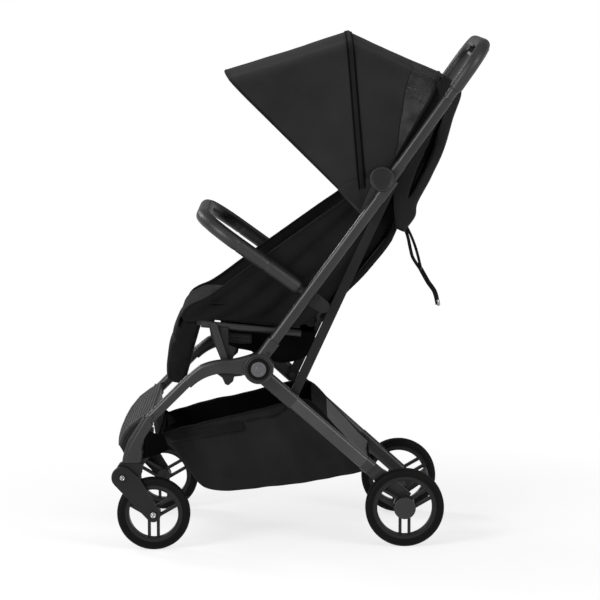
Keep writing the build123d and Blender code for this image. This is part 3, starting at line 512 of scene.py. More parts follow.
def archLine(bow):
    angle, reach = canopyLook[bow]
    half, corner, crown, foot = (canopyLook[key] for key in ("half", "corner", "crown", "foot"))
    sideSteps, cornerSteps, crownSteps = canopyLook["steps"]
    shoulder = reach - crown - corner
    flat = [(-half, foot + (shoulder - foot) * k / sideSteps) for k in range(sideSteps)]
    for k in range(cornerSteps):
        turn = math.pi - (math.pi / 2) * k / cornerSteps
        flat.append((-half + corner + corner * math.cos(turn), shoulder + corner * math.sin(turn)))
    left = list(flat)
    span = half - corner
    for k in range(crownSteps + 1):
        y = -span + 2 * span * k / crownSteps
        flat.append((y, shoulder + corner + crown * (1 - (y / span) ** 2)))
    flat += [(-y, r) for y, r in reversed(left)]
    turn = math.radians(angle)
    x, z = canopyPivot.x, canopyPivot.z
    return [Vector((x + r * math.cos(turn), y, z + r * math.sin(turn))) for y, r in flat]


def windowShare(point):
    # where the net window begins between the mid and the rear bow
    reach = math.hypot(point.x - canopyPivot.x, point.z - canopyPivot.z)
    marks = canopyLook["window"]
    for (a, s), (b, t) in zip(marks, marks[1:]):
        if reach <= b:
            return s + (t - s) * (reach - a) / (b - a)
    return marks[-1][1]


def canopyRows(first, second, lift, knee=False):
    # with a knee, one row of the grid lies on the edge of the net window
    pairs = list(zip(archLine(first), archLine(second)))
    count, bend = canopyLook["rows"], canopyLook["windowRow"]
    rows = []
    for i in range(count + 1):
        row = []
        for p, q in pairs:
            t = i / count
            if knee:
                edge = windowShare(p)
                t = edge * i / bend if i <= bend else edge + (1 - edge) * (i - bend) / (count - bend)
            point = p.lerp(q, t)
            inward = (canopyHeart - point).normalized()
            dip = canopyLook["sag"] * math.sin(math.pi * t)
            dip *= min(1, (point - canopyHeart).length / canopyLook["fullSag"])
            ripple = sum(deep * noise.noise(point * pitch) for deep, pitch in canopyLook["ripples"])
            row.append(point + inward * (dip + ripple - lift))
        rows.append(row)
    return rows


def followBows(piece):
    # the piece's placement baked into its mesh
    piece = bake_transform(piece)


def stepTo(line, goal, gap, lift):
    # a line moved across the cloth towards another, and lifted off it
    pairs = zip(line, goal)
    return [p + (q - p).normalized() * gap + (p - canopyHeart).normalized() * lift for p, q in pairs]


def makeCanopy():
    look = canopyLook
    rearRows = canopyRows("mid", "rear", look["rearLift"], knee=True)
    frontCloth = gridPiece("canopyFrontCloth", canopyRows("front", "mid", look["frontLift"]))
    rearCloth = gridPiece("canopyRearCloth", rearRows)
    frontLine, midLine, rearLine = (archLine(bow) for bow in ("front", "mid", "rear"))
    edges = [windowShare(p) for p in midLine]
    for piece, node in ((frontCloth, "canopy_front_cloth"), (rearCloth, "canopy_rear_cloth")):
        thicken(piece, look["thick"])
        dress(piece, None, "canvas", hoodCloth, net, liningAndShade)
        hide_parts(node)
    across, bend = len(midLine) - 1, look["windowRow"]
    for i in range(bend, look["rows"]):
        for j in range(across):
            if edges[j] < look["openTo"]:
                inNet = i < bend + look["netRows"]
                rearCloth.data.polygons[i * across + j].material_index = 1 if inNet else 2
    followBows(frontCloth)
    followBows(rearCloth)
    before, after = look["zip"]
    moves = [(frontLine, before), (frontLine, before * 0.5), (frontLine, 0.0)]
    moves += [(rearLine, after * 0.5), (rearLine, after)]
    zipRows = [stepTo(midLine, goal, gap, lift) for (goal, gap), lift in zip(moves, look["zipLift"])]
    band = clothPiece("canopyZipBand", zipRows, look["zipThick"])
    dress(band, None, "webbing", webbing)
    followBows(band)
    window = [p for p, edge in zip(rearRows[bend], edges) if edge < look["openTo"]]
    frontEdge, rearEdge = look["binding"]
    seams = [
        ("canopyFrontBinding", frontLine, frontEdge, webbing),
        ("canopyRearBinding", rearLine, rearEdge, webbing),
        ("canopyMidSeam.front", zipRows[0], look["seam"], liningAndShade),
        ("canopyMidSeam.rear", zipRows[-1], look["seam"], liningAndShade),
        ("canopyWindowBinding", window, look["windowEdge"], webbing),
    ]
    for name, line, radius, finish in seams:
        followBows(dress(tubePiece(name, line, radius), None, "webbing", finish))


def makeGusset(side):
    # dark cloth fan over the feet of the bows
    look = gussetLook
    first, last = canopyLook["rear"][0], canopyLook["front"][0]
    deep, pitch = look["ripple"]
    rows = []
    for i in range(look["rows"] + 1):
        angle = first - look["before"] + (last - first + look["sweep"]) * i / look["rows"]
        row = []
        for k in range(look["steps"] + 1):
            t = k / look["steps"]
            x, z = along((canopyPivot.x, canopyPivot.z), angle, look["near"] + (look["far"] - look["near"]) * t)
            y = look["y"] + deep * math.sin(i * pitch) * t - look["lean"] * t ** 2
            row.append(Vector((x, y * side, z)))
        rows.append(row)
    fan = clothPiece(f"canopyGusset.{side + 1}", rows, look["thick"])
    dress(fan, None, "canvas", hoodCloth)
    followBows(fan)


for side in bothSides:
    makeGusset(side)
makeCanopy()
print("canopy sewn")

# rear flap: a soft pouch behind the backrest with one deep side fold
flapLook = {
    "half": 0.1585, "corner": 0.014, "thick": 0.0024, "rows": 84, "sideSteps": 46, "cornerSteps": 8,
    "backSteps": 12, "puff": 0.0022, "belly": 0.004, "wobble": (0.0014, 16, 12), "hem": 0.0026, "hemLift": 0.001,
    "slitDepth": 0.013, "slitHalf": 0.0094, "slitTaper": 0.55, "slitLip": 0.0004, "slitEase": 0.6,
    "slitShadeFrom": 0.9,
    "back": [
        (0.284, 0.9415), (0.3195, 0.914), (0.303, 0.856), (0.285, 0.794), (0.258, 0.735), (0.2335, 0.688),
        (0.229, 0.661), (0.208, 0.632),
    ],
    "front": [
        (0.276, 0.929), (0.252, 0.885), (0.228, 0.842), (0.205, 0.802), (0.186, 0.765), (0.186, 0.715),
        (0.188, 0.67), (0.192, 0.64),
    ],
    "slit": [
        (0.283, 0.862), (0.2705, 0.832), (0.262, 0.805), (0.25, 0.776), (0.2365, 0.746), (0.2265, 0.723),
        (0.216, 0.7),
    ],
    "squash": {"axis": (0.55, 0, 0.835), "anchor": (0.29, 0, 0.935), "keep": 0.3},
}


def slitShare(spot):
    # how deep in the leaf-shaped slit a side-view point lies, 0 to 1
    marks = flapLook["slit"]
    x, z = spot.x, spot.z
    best, place = 1.0, 0.0
    for i, ((ax, az), (bx, bz)) in enumerate(zip(marks, marks[1:])):
        length = (bx - ax) ** 2 + (bz - az) ** 2
        t = min(max(((x - ax) * (bx - ax) + (z - az) * (bz - az)) / length, 0), 1)
        gap = math.hypot(x - ax - t * (bx - ax), z - az - t * (bz - az))
        if gap < best:
            best, place = gap, (i + t) / (len(marks) - 1)
    leaf = max(math.sin(math.pi * place), 0) ** flapLook["slitTaper"]
    wide = flapLook["slitHalf"] * leaf + flapLook["slitLip"]
    return max(0.0, 1 - (best / wide) ** 2) ** flapLook["slitEase"]


def flapSection(f, b, t):
    # depth, y and slit share round one level of the flap
    look = flapLook
    half, depth = look["half"], (b - f).length
    way = (b - f).normalized()
    corner = min(look["corner"], depth * 0.5)
    section = []
    for k in range(look["sideSteps"]):
        d = (depth - corner) * k / look["sideSteps"]
        deep = slitShare(f + way * d)
        puff = look["puff"] * math.sin(math.pi * d / (depth - corner))
        section.append((d, -half + look["slitDepth"] * deep - puff * (1 - deep), deep))
    for k in range(look["cornerSteps"]):
        turn = (math.pi / 2) * k / look["cornerSteps"]
        d = depth - corner + corner * math.sin(turn)
        deep = slitShare(f + way * d)
        section.append((d, -half + corner - corner * math.cos(turn) + look["slitDepth"] * deep, deep))
    reach = half - corner
    for k in range(look["backSteps"] + 1):
        y = -reach + reach * k / look["backSteps"]
        belly = look["belly"] * (1 - (y / half) ** 2) * math.sin(math.pi * t)
        section.append((depth - look["belly"] * min(1, k) + belly, y, 0))
    return section + [(d, -y, deep) for d, y, deep in reversed(section[:-1])]


def makeFlap():
    look = flapLook
    count = look["rows"]
    size, pitch, yPitch = look["wobble"]
    rows, shades = [], []
    lines = zip(sideLine(look["front"], 8, count), sideLine(look["back"], 8, count))
    for i, (f, b) in enumerate(lines):
        section = flapSection(f, b, i / (count - 1))
        way = (b - f).normalized()
        row = []
        for d, y, _ in section:
            p = f + way * d
            wobble = abs(size * noise.noise(Vector((p.x * pitch, y * yPitch, p.z * pitch))))
            row.append(Vector((p.x - way.x * wobble, y, p.z - way.z * wobble)))
        rows.append(row)
        shades.append([deep for _, _, deep in section])
    flap = clothPiece("rearFlap", rows, look["thick"])
    dress(flap, "handle", "canvas", basketCloth, liningAndShade)
    across = len(rows[0]) - 1
    # painted shade: faces deep in the side slit take the near-black lining
    for i in range(count - 1):
        for j in range(across):
            if shades[i][j] + shades[i][j + 1] > look["slitShadeFrom"]:
                flap.data.polygons[i * across + j].material_index = 1
    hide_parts("rear_flap")
    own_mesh(flap)
    hem = tubePiece("rearFlapHem", [p + Vector((0, 0, look["hemLift"])) for p in rows[-1]], look["hem"])
    dress(hem, "handle", "webbing", webbing)
    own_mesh(hem)


makeFlap()
print("rear flap hung")

# basket: sagging cloth trough with a hem strap and a sloping rear panel
basketLook = {
    "half": 0.1435, "thick": 0.0024, "rows": 72, "across": 34, "floor": 0.52, "floorRise": 0.025,
    "cornerIn": 0.03, "cornerEase": 1.4, "wallIn": 0.004, "wallEase": 1.15,
    "pleat": (0.0045, 48, 2.6, 1.3), "crimp": (0.0026, 118, 60), "drag": 0.0045, "dip": 0.0025, "calmMid": 1.6,
    "lidFrom": 0.02, "lidSteps": 18, "lidSag": 0.007, "lidCrease": 0.0016, "panelShadeTo": 0.056, "edgeThick": 0.002,
    "bandOut": 0.0042, "bandPuff": 0.0012, "bandRows": 40, "bandCalm": 4, "tieSlack": 0.006,
    "tieSteps": (14, 12), "hem": 0.0026, "pipeOut": 0.003, "pipe": 0.0017,
    "stations": [  # x, bottom, hem
        (-0.2835, 0.2005, 0.2165), (-0.262, 0.1905, 0.2245), (-0.232, 0.1515, 0.2335), (-0.205, 0.11, 0.2405),
        (-0.176, 0.096, 0.248), (-0.13, 0.096, 0.2575), (-0.08, 0.0995, 0.2695), (-0.03, 0.105, 0.2815),
        (0.02, 0.1125, 0.286), (0.07, 0.1235, 0.235), (0.118, 0.1355, 0.183), (0.142, 0.1435, 0.16),
    ],
    "bandTop": [(-0.2866, 0.2163), (-0.2673, 0.2215), (-0.2287, 0.228), (-0.1814, 0.2384), (-0.1137, 0.2464)],
    "bandLow": [(-0.2803, 0.198), (-0.2417, 0.206), (-0.1815, 0.216), (-0.11, 0.23)],
    "gusset": [  # boot top and low, basket top and low
        (-0.3085, 0.2035, 0.2425), (-0.3125, 0.2035, 0.1815),
        (-0.2755, 0.1415, 0.2195), (-0.2645, 0.1395, 0.1895),
    ],
    "piping": [(-0.111, 0.2464), (-0.0813, 0.2527), (-0.0597, 0.2564), (-0.0417, 0.2645), (-0.0273, 0.28)],
    "squash": {"axis": (1, 0, 0), "anchor": (-0.285, 0, 0.2), "keep": 0.55},
}


def basketSection(x, bottom, hem):
    look = basketLook
    half, floor, inset = look["half"], look["floor"], look["cornerIn"]
    depth, rise = hem - bottom, look["floorRise"]
    size, pitch, lean, shift = look["pleat"]
    crimpSize, crimpPitch, crimpLean = look["crimp"]
    section = []
    for k in range(look["across"] + 1):
        t = -1 + 2 * k / look["across"]
        side = abs(t)
        if side > floor:
            climb = (side - floor) / (1 - floor)
            reach = half - inset * (1 - climb) ** look["cornerEase"]
            z = bottom + depth * (rise + (1 - rise) * climb ** look["wallEase"])
        else:
            reach = (half - inset) * side / floor
            z = bottom + depth * rise * (side / floor) ** 3
        crease = size * math.sin(x * pitch + lean * side + shift)
        crease += crimpSize * math.sin(x * crimpPitch + z * crimpLean)
        crease += look["drag"] * noise.noise(Vector((x * 9, z * 12, 3.7)))
        y = math.copysign(max(reach - look["wallIn"] + crease * min(1, side * look["calmMid"]), 0), t)
        dip = look["dip"] * noise.noise(Vector((x * 11, y * 11, 8.2)))
        section.append(Vector((x, y, max(z + dip, bottom))))
    return section


def wallPoint(rows, p, side, out):
    # the basket's side wall at a side-view point, moved outwards
    row = min(rows, key=lambda one: abs(one[0].x - p.x))
    spot = min(row[: len(row) // 2], key=lambda one: abs(one.z - p.z))
    return Vector((p.x, side * (abs(spot.y) + out), p.z))


def makeBasket():
    look = basketLook
    stations = evenLine(smoothLine([Vector(mark) for mark in look["stations"]], 6), look["rows"])
    rows = [basketSection(p.x, p.y, p.z) for p in stations]
    walls = [gridPiece("basketCloth", rows)]
    for row in (rows[0], rows[-1]):
        top = [Vector((p.x, p.y, max(row[0].z, row[-1].z))) for p in row]
        walls.append(gridPiece("basketEnd", [[a.lerp(b, s / 4) for a, b in zip(row, top)] for s in range(5)]))
    cloth = thicken(joinPieces("basketShell", walls), look["thick"])
    dress(cloth, "frame", "canvas", liningAndShade, basketCloth)
    cloth.modifiers["cloth"].material_offset = 1  # inner faces near-black as painted shade inside the basket, outer faces basket cloth
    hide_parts("basket")
    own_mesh(cloth)
    lid = []
    for row in rows:
        if row[0].x > look["lidFrom"]:
            line = []
            for s in range(look["lidSteps"] + 1):
                t = s / look["lidSteps"]
                crease = look["lidCrease"] * noise.noise(Vector((row[0].x * 30, s * 0.7, 2)))
                sag = look["lidSag"] * math.sin(math.pi * t) + crease
                line.append(row[0].lerp(row[-1], t) - Vector((0, 0, sag)))
            lid.append(line)
    panel = clothPiece("basketRearPanel", lid, look["edgeThick"])
    dress(panel, "frame", "canvas", litPanelCloth, liningAndShade)
    # painted shade: faces at the panel's front take the near-black lining
    for face in panel.data.polygons:
        if face.center.x < look["panelShadeTo"]:
            face.material_index = 1
    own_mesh(panel)
    for side in bothSides:
        makeBasketSide(rows, side)


def makeBasketSide(rows, side):
    # cloth tie to the boot, hem, band and piping of one side
    look = basketLook
    legTop, legLow, clothTop, clothLow = [Vector((x, side * y, z)) for x, y, z in look["gusset"]]
    steps, levels = look["tieSteps"]
    tie = []
    for i in range(steps + 1):
        high, low = legTop.lerp(clothTop, i / steps), legLow.lerp(clothLow, i / steps)
        slack = look["tieSlack"] * math.sin(math.pi * i / steps)
        row = []
        for k in range(levels + 1):
            pull = Vector((slack * math.sin(math.pi * k / levels), 0, slack * 0.6))
            row.append(high.lerp(low, k / levels) - pull)
        tie.append(row)
    gusset = clothPiece(f"basketGusset.{side + 1}", tie, look["edgeThick"])
    dress(gusset, "frame", "canvas", liningAndShade)
    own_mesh(gusset)
    count = look["bandRows"]
    puffs = [side * look["bandPuff"] * math.sin(math.pi * s / 4) for s in range(5)]
    strip = []
    for a, b in zip(sideLine(look["bandTop"], 6, count), sideLine(look["bandLow"], 6, count)):
        p, q = wallPoint(rows, a, side, look["bandOut"]), wallPoint(rows, b, side, look["bandOut"])
        strip.append([p.lerp(q, s / 4) + Vector((0, puff, 0)) for s, puff in enumerate(puffs)])
    for _ in range(look["bandCalm"]):
        trios = zip([strip[0]] + strip[:-1], strip, strip[1:] + [strip[-1]])
        strip = [[(a + 2 * b + c) / 4 for a, b, c in zip(*trio)] for trio in trios]
    pipe = [wallPoint(rows, p, side, look["pipeOut"]) for p in sideLine(look["piping"], 8, 30)]
    pieces = [
        tubePiece(f"basketHem.{side + 1}", [row[0 if side < 0 else -1] for row in rows], look["hem"]),
        clothPiece(f"basketBand.{side + 1}", strip, look["edgeThick"]),
        tubePiece(f"basketPiping.{side + 1}", pipe, look["pipe"]),
    ]
    for piece in pieces:
        dress(piece, "frame", "webbing", webbing)
        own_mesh(piece)


makeBasket()
print("basket hung")

# seat wings: hanging side cloth with long diagonal folds
wingLook = {
    "y": 0.1555, "frontY": 0.1605, "frontFrom": -0.17, "frontEase": 0.03, "thick": 0.0026, "binding": 0.0028,
    "fold": 0.004464, "slope": 39.0, "wave": (150, 1.3, 7), "ripple": (0.4, 71, 2.4), "noise": (0.001, 25),
    "calmFrom": -0.235, "calmEase": 0.06, "steps": (90, 40),
    "bottom": [
        (-0.2325, 0.4525), (-0.2135, 0.4515), (-0.19, 0.4545), (-0.14, 0.4535), (-0.08, 0.4485), (-0.02, 0.4435),
        (0.008, 0.447), (0.05, 0.483), (0.095, 0.548), (0.13, 0.63), (0.153, 0.69), (0.178, 0.752),
    ],
    "top": [
        (-0.2365, 0.4605), (-0.2275, 0.4765), (-0.2125, 0.487), (-0.19, 0.4965), (-0.165, 0.5125),
        (-0.13, 0.5385), (-0.095, 0.5645), (-0.057, 0.591), (-0.01, 0.6245), (0.04, 0.66), (0.094, 0.698),
        (0.135, 0.739), (0.168, 0.782),
    ],
    "blend": ((-0.06, 0, 0.52), (0.13, 0, 0.66)),
}


def makeWing(side):
    look = wingLook
    count, levels = look["steps"]
    c, s = math.cos(math.radians(look["slope"])), math.sin(math.radians(look["slope"]))
    pitch, drift, driftPitch = look["wave"]
    share, sharePitch, shift = look["ripple"]
    grain, grainPitch = look["noise"]
    rows = []
    for low, high in zip(sideLine(look["bottom"], 6, count), sideLine(look["top"], 6, count)):
        row = []
        for k in range(levels + 1):
            t = k / levels
            p = low.lerp(high, t)
            cross, lengthwise = -s * p.x + c * p.z, c * p.x + s * p.z
            wave = math.sin(cross * pitch + drift * math.sin(lengthwise * driftPitch))
            wave += share * math.sin(cross * sharePitch + shift)
            edge = min(1, t * 5, (1 - t) * 4) * min(1, max(0, (p.x - look["calmFrom"]) / look["calmEase"]))
            front = min(1, max(0, (look["frontFrom"] - p.x) / look["frontEase"]))
            y = look["y"] + (look["frontY"] - look["y"]) * front
            y += look["fold"] * wave * edge + grain * noise.noise(p * grainPitch)
            row.append(Vector((p.x, y * side, p.z)))
        rows.append(row)
    wing = clothPiece(f"seatWing.{side + 1}", rows, look["thick"])
    dress(wing, None, "canvas", canvas)
    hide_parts(f"seat_wing_{bothSides[side]}")
    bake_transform(wing)
    binding = tubePiece(f"seatWingBinding.{side + 1}", [row[-1] for row in rows], look["binding"])
    dress(binding, None, "webbing", canvas)
    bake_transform(binding)


# cloth that runs from the seat over its front edge to the legrest
seatFrontLook = {
    "half": 0.159, "thick": 0.0024, "crease": 0.0015, "edgeDrop": 0.004, "steps": (22, 30),
    "profile": [
        (-0.14, 0.4875), (-0.17, 0.4925), (-0.198, 0.4915), (-0.2125, 0.486), (-0.2285, 0.477),
        (-0.2405, 0.462), (-0.2445, 0.444),
    ],
}


def makeSeatFront():
    look = seatFrontLook
    half = look["half"]
    count, across = look["steps"]
    rows = []
    for p in sideLine(look["profile"], 6, count):
        row = []
        for k in range(across + 1):
            y = -half + 2 * half * k / across
            lift = look["crease"] * noise.noise(Vector((p.x * 20, y * 16, 5)))
            row.append(Vector((p.x, y, p.z + lift - look["edgeDrop"] * abs(y / half) ** 8)))
        rows.append(row)
    roll = clothPiece("seatFrontCloth", rows, look["thick"])
    dress(roll, None, "canvas", canvas)
    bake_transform(roll)


makeSeatFront()
for side in bothSides:
    makeWing(side)
print("seat wings hung")

# padded pieces: swollen by a short cloth run from the solids' forms
padLook = {
    "seat_pad": {
        "name": "seatPad", "body": "frame", "fill": 0.6, "finish": padding,
        "voxel": 0.0055, "pressure": 3.5, "cap": 0.006,
    },
    "backrest_pad": {
        "name": "backrestPad", "body": "backrest", "fill": 0.55, "finish": padding,
        "voxel": 0.0055, "pressure": 3.5, "cap": 0.006,
    },
    "legrest_pad": {
        "name": "legrestPad", "body": "legrest", "fill": 0.6, "finish": canvas,
        "voxel": 0.005, "pressure": 3.0, "cap": 0.005,
    },
}
swellLook = {"frames": 20, "quality": 4, "calm": 3, "shrink": 0.6}


def remeshed(source, name, voxel, shrink):
    mesh = source.data.copy()
    mesh.name = name
    piece = linked(name, mesh)
    editMesh(mesh, weld(1e-5))
    step = piece.modifiers.new("even", "REMESH")
    step.mode = "VOXEL"
    step.voxel_size = voxel
    calm = piece.modifiers.new("calm", "SMOOTH")
    calm.iterations = swellLook["calm"]
    pull = piece.modifiers.new("pull", "DISPLACE")
    pull.mid_level = 0
    pull.strength = -shrink
    bakeModifiers(piece)
    return piece


def bakeModifiers(piece):
    view = bpy.context.evaluated_depsgraph_get()
    mesh = bpy.data.meshes.new_from_object(piece.evaluated_get(view))
    piece.modifiers.clear()
    piece.data = mesh
    shadeFaces(mesh)


def swell(piece, pressure, cap):
    start = [v.co.copy() for v in piece.data.vertices]
    cloth = piece.modifiers.new("air", "CLOTH")
    cloth.settings.use_pressure = True
    cloth.settings.uniform_pressure_force = pressure
    cloth.settings.effector_weights.gravity = 0
    cloth.settings.quality = swellLook["quality"]
    cloth.point_cache.frame_start = 1
    cloth.point_cache.frame_end = swellLook["frames"]
    for step in range(1, swellLook["frames"] + 1):
        scene.frame_set(step)
    bakeModifiers(piece)
    scene.frame_set(1)
    for v, before in zip(piece.data.vertices, start):
        move = v.co - before
        if move.length > cap:
            v.co = before + move.normalized() * cap


def makePad(node):
    look = padLook[node]
    pad = remeshed(nodes[node], look["name"], look["voxel"], look["cap"] * swellLook["shrink"])
    swell(pad, look["pressure"], look["cap"])
    rounder = pad.modifiers.new("round", "SUBSURF")
    rounder.levels = rounder.render_levels = 1
    dress(pad, look["body"], "padding", look["finish"])
    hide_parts(node)


for node in padLook:
    makePad(node)
    print("padded", node)

# covered bars: leather over the handle and the bumper bar, drawn in at each seam
barLooks = [
    {
        "name": "handleGrip", "node": "handle_grip", "body": "handle", "foot": (0.290698, 0.897678),
        "angle": 54.8, "half": 0.1965, "start": 0.022, "reach": 0.128, "corner": 0.062, "radius": 0.0129,
        "seams": [0.0, 1.0], "pinch": 0.0,
    },
    {
        "name": "bumperCover", "node": "bumper_cover", "body": "bumper_bar", "foot": (0.028, 0.5),
        "angle": 144.2, "half": 0.19, "start": 0.036, "reach": 0.274, "corner": 0.08, "radius": 0.0143,
        "seams": [0.1, 0.19, 0.81, 0.9], "pinch": 0.0012,
    },
]
sewingLook = {
    "count": 240, "sides": 28, "uneven": (0.00025, 0.21), "seamWidth": 0.0028, "endDrop": 0.002, "endEase": 1.2,
    "ridge": 0.0009, "ridgeOut": 0.0002, "steps": (20, 14, 24),
}


def bowLine(look):
    half, start, reach, corner = (look[key] for key in ("half", "start", "reach", "corner"))
    sideSteps, cornerSteps, topSteps = sewingLook["steps"]
    turn = math.radians(look["angle"])
    way = Vector((math.cos(turn), 0, math.sin(turn)))
    base = Vector((look["foot"][0], 0, look["foot"][1]))
    flat = [(-half, start + (reach - corner - start) * k / sideSteps) for k in range(sideSteps)]
    for k in range(cornerSteps):
        bend = math.pi - (math.pi / 2) * k / cornerSteps
        flat.append((-half + corner + corner * math.cos(bend), reach - corner + corner * math.sin(bend)))
    flat += [(-(half - corner) + (half - corner) * k / topSteps, reach) for k in range(topSteps)]
    flat += [(0.0, reach)] + [(-y, r) for y, r in reversed(flat)]
    return [base + way * r + Vector((0, y, 0)) for y, r in flat]


def makeBar(look):
    count = sewingLook["count"]
    line = evenLine(bowLine(look), count)
    uneven, pitch = sewingLook["uneven"]
    radii = []
    for i in range(count):
        t = i / (count - 1)
        r = look["radius"] + uneven * noise.noise(Vector((i * pitch, 0, look["angle"])))
        for seam in look["seams"]:
            r -= look["pinch"] * math.exp(-(((t - seam) / sewingLook["seamWidth"]) ** 2))
        end = min(t, 1 - t) * count
        radii.append(r - sewingLook["endDrop"] * math.exp(-end / sewingLook["endEase"]))
    cover = tubePiece(look["name"], line, radii, sewingLook["sides"])
    dress(cover, look["body"], "grip_leather", leather)
    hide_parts(look["node"])
    turn = math.radians(look["angle"])
    outward = Vector((math.sin(turn), 0, -math.cos(turn)))
    seamLine = [p + outward * (look["radius"] + sewingLook["ridgeOut"]) for p in line[3:-3]]
    ridge = tubePiece(look["name"] + "Seam", seamLine, sewingLook["ridge"], 6)
    dress(ridge, look["body"], "grip_leather", thread)


for barLook in barLooks:
    makeBar(barLook)
print("bars covered")

# straps of the harness, woven tape laid on the pads
strapLook = {
    "width": 0.025, "thick": 0.0022, "foot": (0.022, 0.447), "angle": 51.0, "slope": -5.5,
    "shoulderY": 0.06, "shoulderWidth": 0.035, "shoulderThick": 0.004, "shoulderFrom": 0.062,
    "shoulderLength": 0.144, "shoulderOff": 0.0302, "shoulderWave": 0.0016,
    "under": 0.0055, "lapFrom": 0.021, "lapLength": 0.119, "lapDrop": 0.006, "lapWave": 0.001,
    "crotchFrom": 0.026, "crotchLength": 0.024, "crotchDrop": 0.003,
    "press": (0.007, 0.002), "pressUp": 0.0072, "pressAxis": (0.096, 0, 0.995),
}


def tapeRow(p, face, width):
    return [p + face * (width * s) for s in (-0.5, -0.25, 0, 0.25, 0.5)]


def strapPiece(name, line, face, width=strapLook["width"], thick=strapLook["thick"]):
    return clothPiece(name, [tapeRow(p, face, width) for p in line], thick)


def makeHarness():
    look = strapLook
    shoulders = []
    for side in bothSides:
        line = []
        for k in range(25):
            t = k / 24
            reach = look["shoulderFrom"] + look["shoulderLength"] * t
            off = look["shoulderOff"] + look["shoulderWave"] * math.sin(9 * t)
            x, z = along(look["foot"], look["angle"], reach, off)
            line.append(Vector((x, look["shoulderY"] * side, z)))
        name = f"shoulderStrap.{side + 1}"
        shoulders.append(strapPiece(name, line, sideways, look["shoulderWidth"], look["shoulderThick"]))
    for piece in shoulders:
        dress(piece, "backrest", "webbing", webbing)
    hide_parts("shoulder_straps")
    slope = math.radians(look["slope"])
    lengthwise = Vector((math.cos(slope), 0, math.sin(slope)))
    low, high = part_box("harness_buckle")
    middle = (Vector(low) + Vector(high)) / 2
    laps = []
    for side in bothSides:
        line = []
        for k in range(21):
            t = k / 20
            z = middle.z - look["under"] - look["lapDrop"] * t * t + look["lapWave"] * math.sin(7 * t)
            line.append(Vector((middle.x, side * (look["lapFrom"] + look["lapLength"] * t), z)))
        laps.append(strapPiece(f"lapStrap.{side + 1}", line, lengthwise))
    line = []
    for k in range(11):
        forward = look["crotchFrom"] + look["crotchLength"] * k / 10
        drop = Vector((0, 0, look["under"] + look["crotchDrop"] * k / 10))
        line.append(middle - lengthwise * forward - drop)
    laps.append(strapPiece("crotchStrap", line, sideways))
    for piece in laps:
        dress(piece, "frame", "webbing", webbing)
    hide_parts("lap_straps")
    top = middle + Vector((0, 0, look["pressUp"]))
    press = ringPiece("buckleButton", top, look["pressAxis"], *look["press"], 32)
    dress(press, "frame", "buckle_plastic", capFinish)


makeHarness()
print("harness laid")

# recline strap: two thin tapes that meet in one tail
reclineLook = {
    "inner": [
        (0.177, 0.609), (0.185, 0.627), (0.193, 0.643), (0.2005, 0.649), (0.207, 0.643), (0.2135, 0.629),
        (0.221, 0.607), (0.2265, 0.582), (0.232, 0.563), (0.247, 0.54),
    ],
    "outer": [
        (0.177, 0.609), (0.186, 0.629), (0.195, 0.646), (0.203, 0.651), (0.2095, 0.644), (0.218, 0.629),
        (0.23, 0.604), (0.2395, 0.577), (0.2485, 0.541),
    ],
    "tail": [(0.2475, 0.5415), (0.263, 0.514), (0.277, 0.493), (0.2835, 0.467)],
    "widths": {"inner": 0.0065, "outer": 0.0055, "tail": 0.0095}, "thick": 0.0018, "count": 44,
    "twistBy": 14, "twistWave": (0.2, 0.13),
    "end": [(-0.001, 0.012, 0.003), (0.0, 0.006, 0.0038), (0.002, -0.001, 0.0034), (0.0025, -0.003, 0.0012)],
    "slide": [(-0.005, 0.003), (-0.003, 0.0044), (0.003, 0.0044), (0.005, 0.003)],
}


def makeReclineStrap():
    # each tape leaves flat on the board and turns its face to the side
    look = reclineLook
    wave, pitch = look["twistWave"]
    tapes = []
    for route, width in look["widths"].items():
        line = sideLine(look[route], 10, look["count"])
        rows = []
        for i, p in enumerate(line):
            turn = math.pi / 2 + wave * math.sin(i * pitch)
            if route != "tail":
                turn *= min(1, i / look["twistBy"])
            face = sideways * math.cos(turn) + wayAt(line, i).cross(sideways) * math.sin(turn)
            rows.append(tapeRow(p, face, width))
        tapes.append(clothPiece("reclineStrap." + route, rows, look["thick"]))
        dress(tapes[-1], "backrest", "webbing", webbing)
    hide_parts("recline_strap")
    x, z = look["tail"][-1]
    tip = [Vector((x + dx, 0, z + dz)) for dx, dz, _ in look["end"]]
    knob = tubePiece("reclineStrapEnd", tip, [r for _, _, r in look["end"]], 14)
    dress(knob, "backrest", "webbing", steel)
    x, z = look["tail"][0]
    bar = [Vector((x, y, z)) for y, _ in look["slide"]]
    slide = tubePiece("reclineStrapSlide", bar, [r for _, r in look["slide"]], 14)
    dress(slide, "backrest", "webbing", mould)


makeReclineStrap()
print("recline strap hung")

# cloth over the back of the backrest board, swollen a little by the padding behind it
backLook = {
    "hinge": (0.022, 0.447), "lower": (51.0, 0.24), "upper": 67.0, "rear": 0.0168, "half": 0.1462,
    "bulge": 0.0064, "bulgeFrom": 0.1, "bulgeLength": 0.16, "crease": 0.0014, "edgeDrop": 0.0012, "out": 0.001,
    "lowerSpan": (0.02, 0.21, 14), "upperSpan": (0.012, 0.14, 8),  # from, length, steps
    "across": 22, "wrap": 0.012, "thick": 0.0018,
}


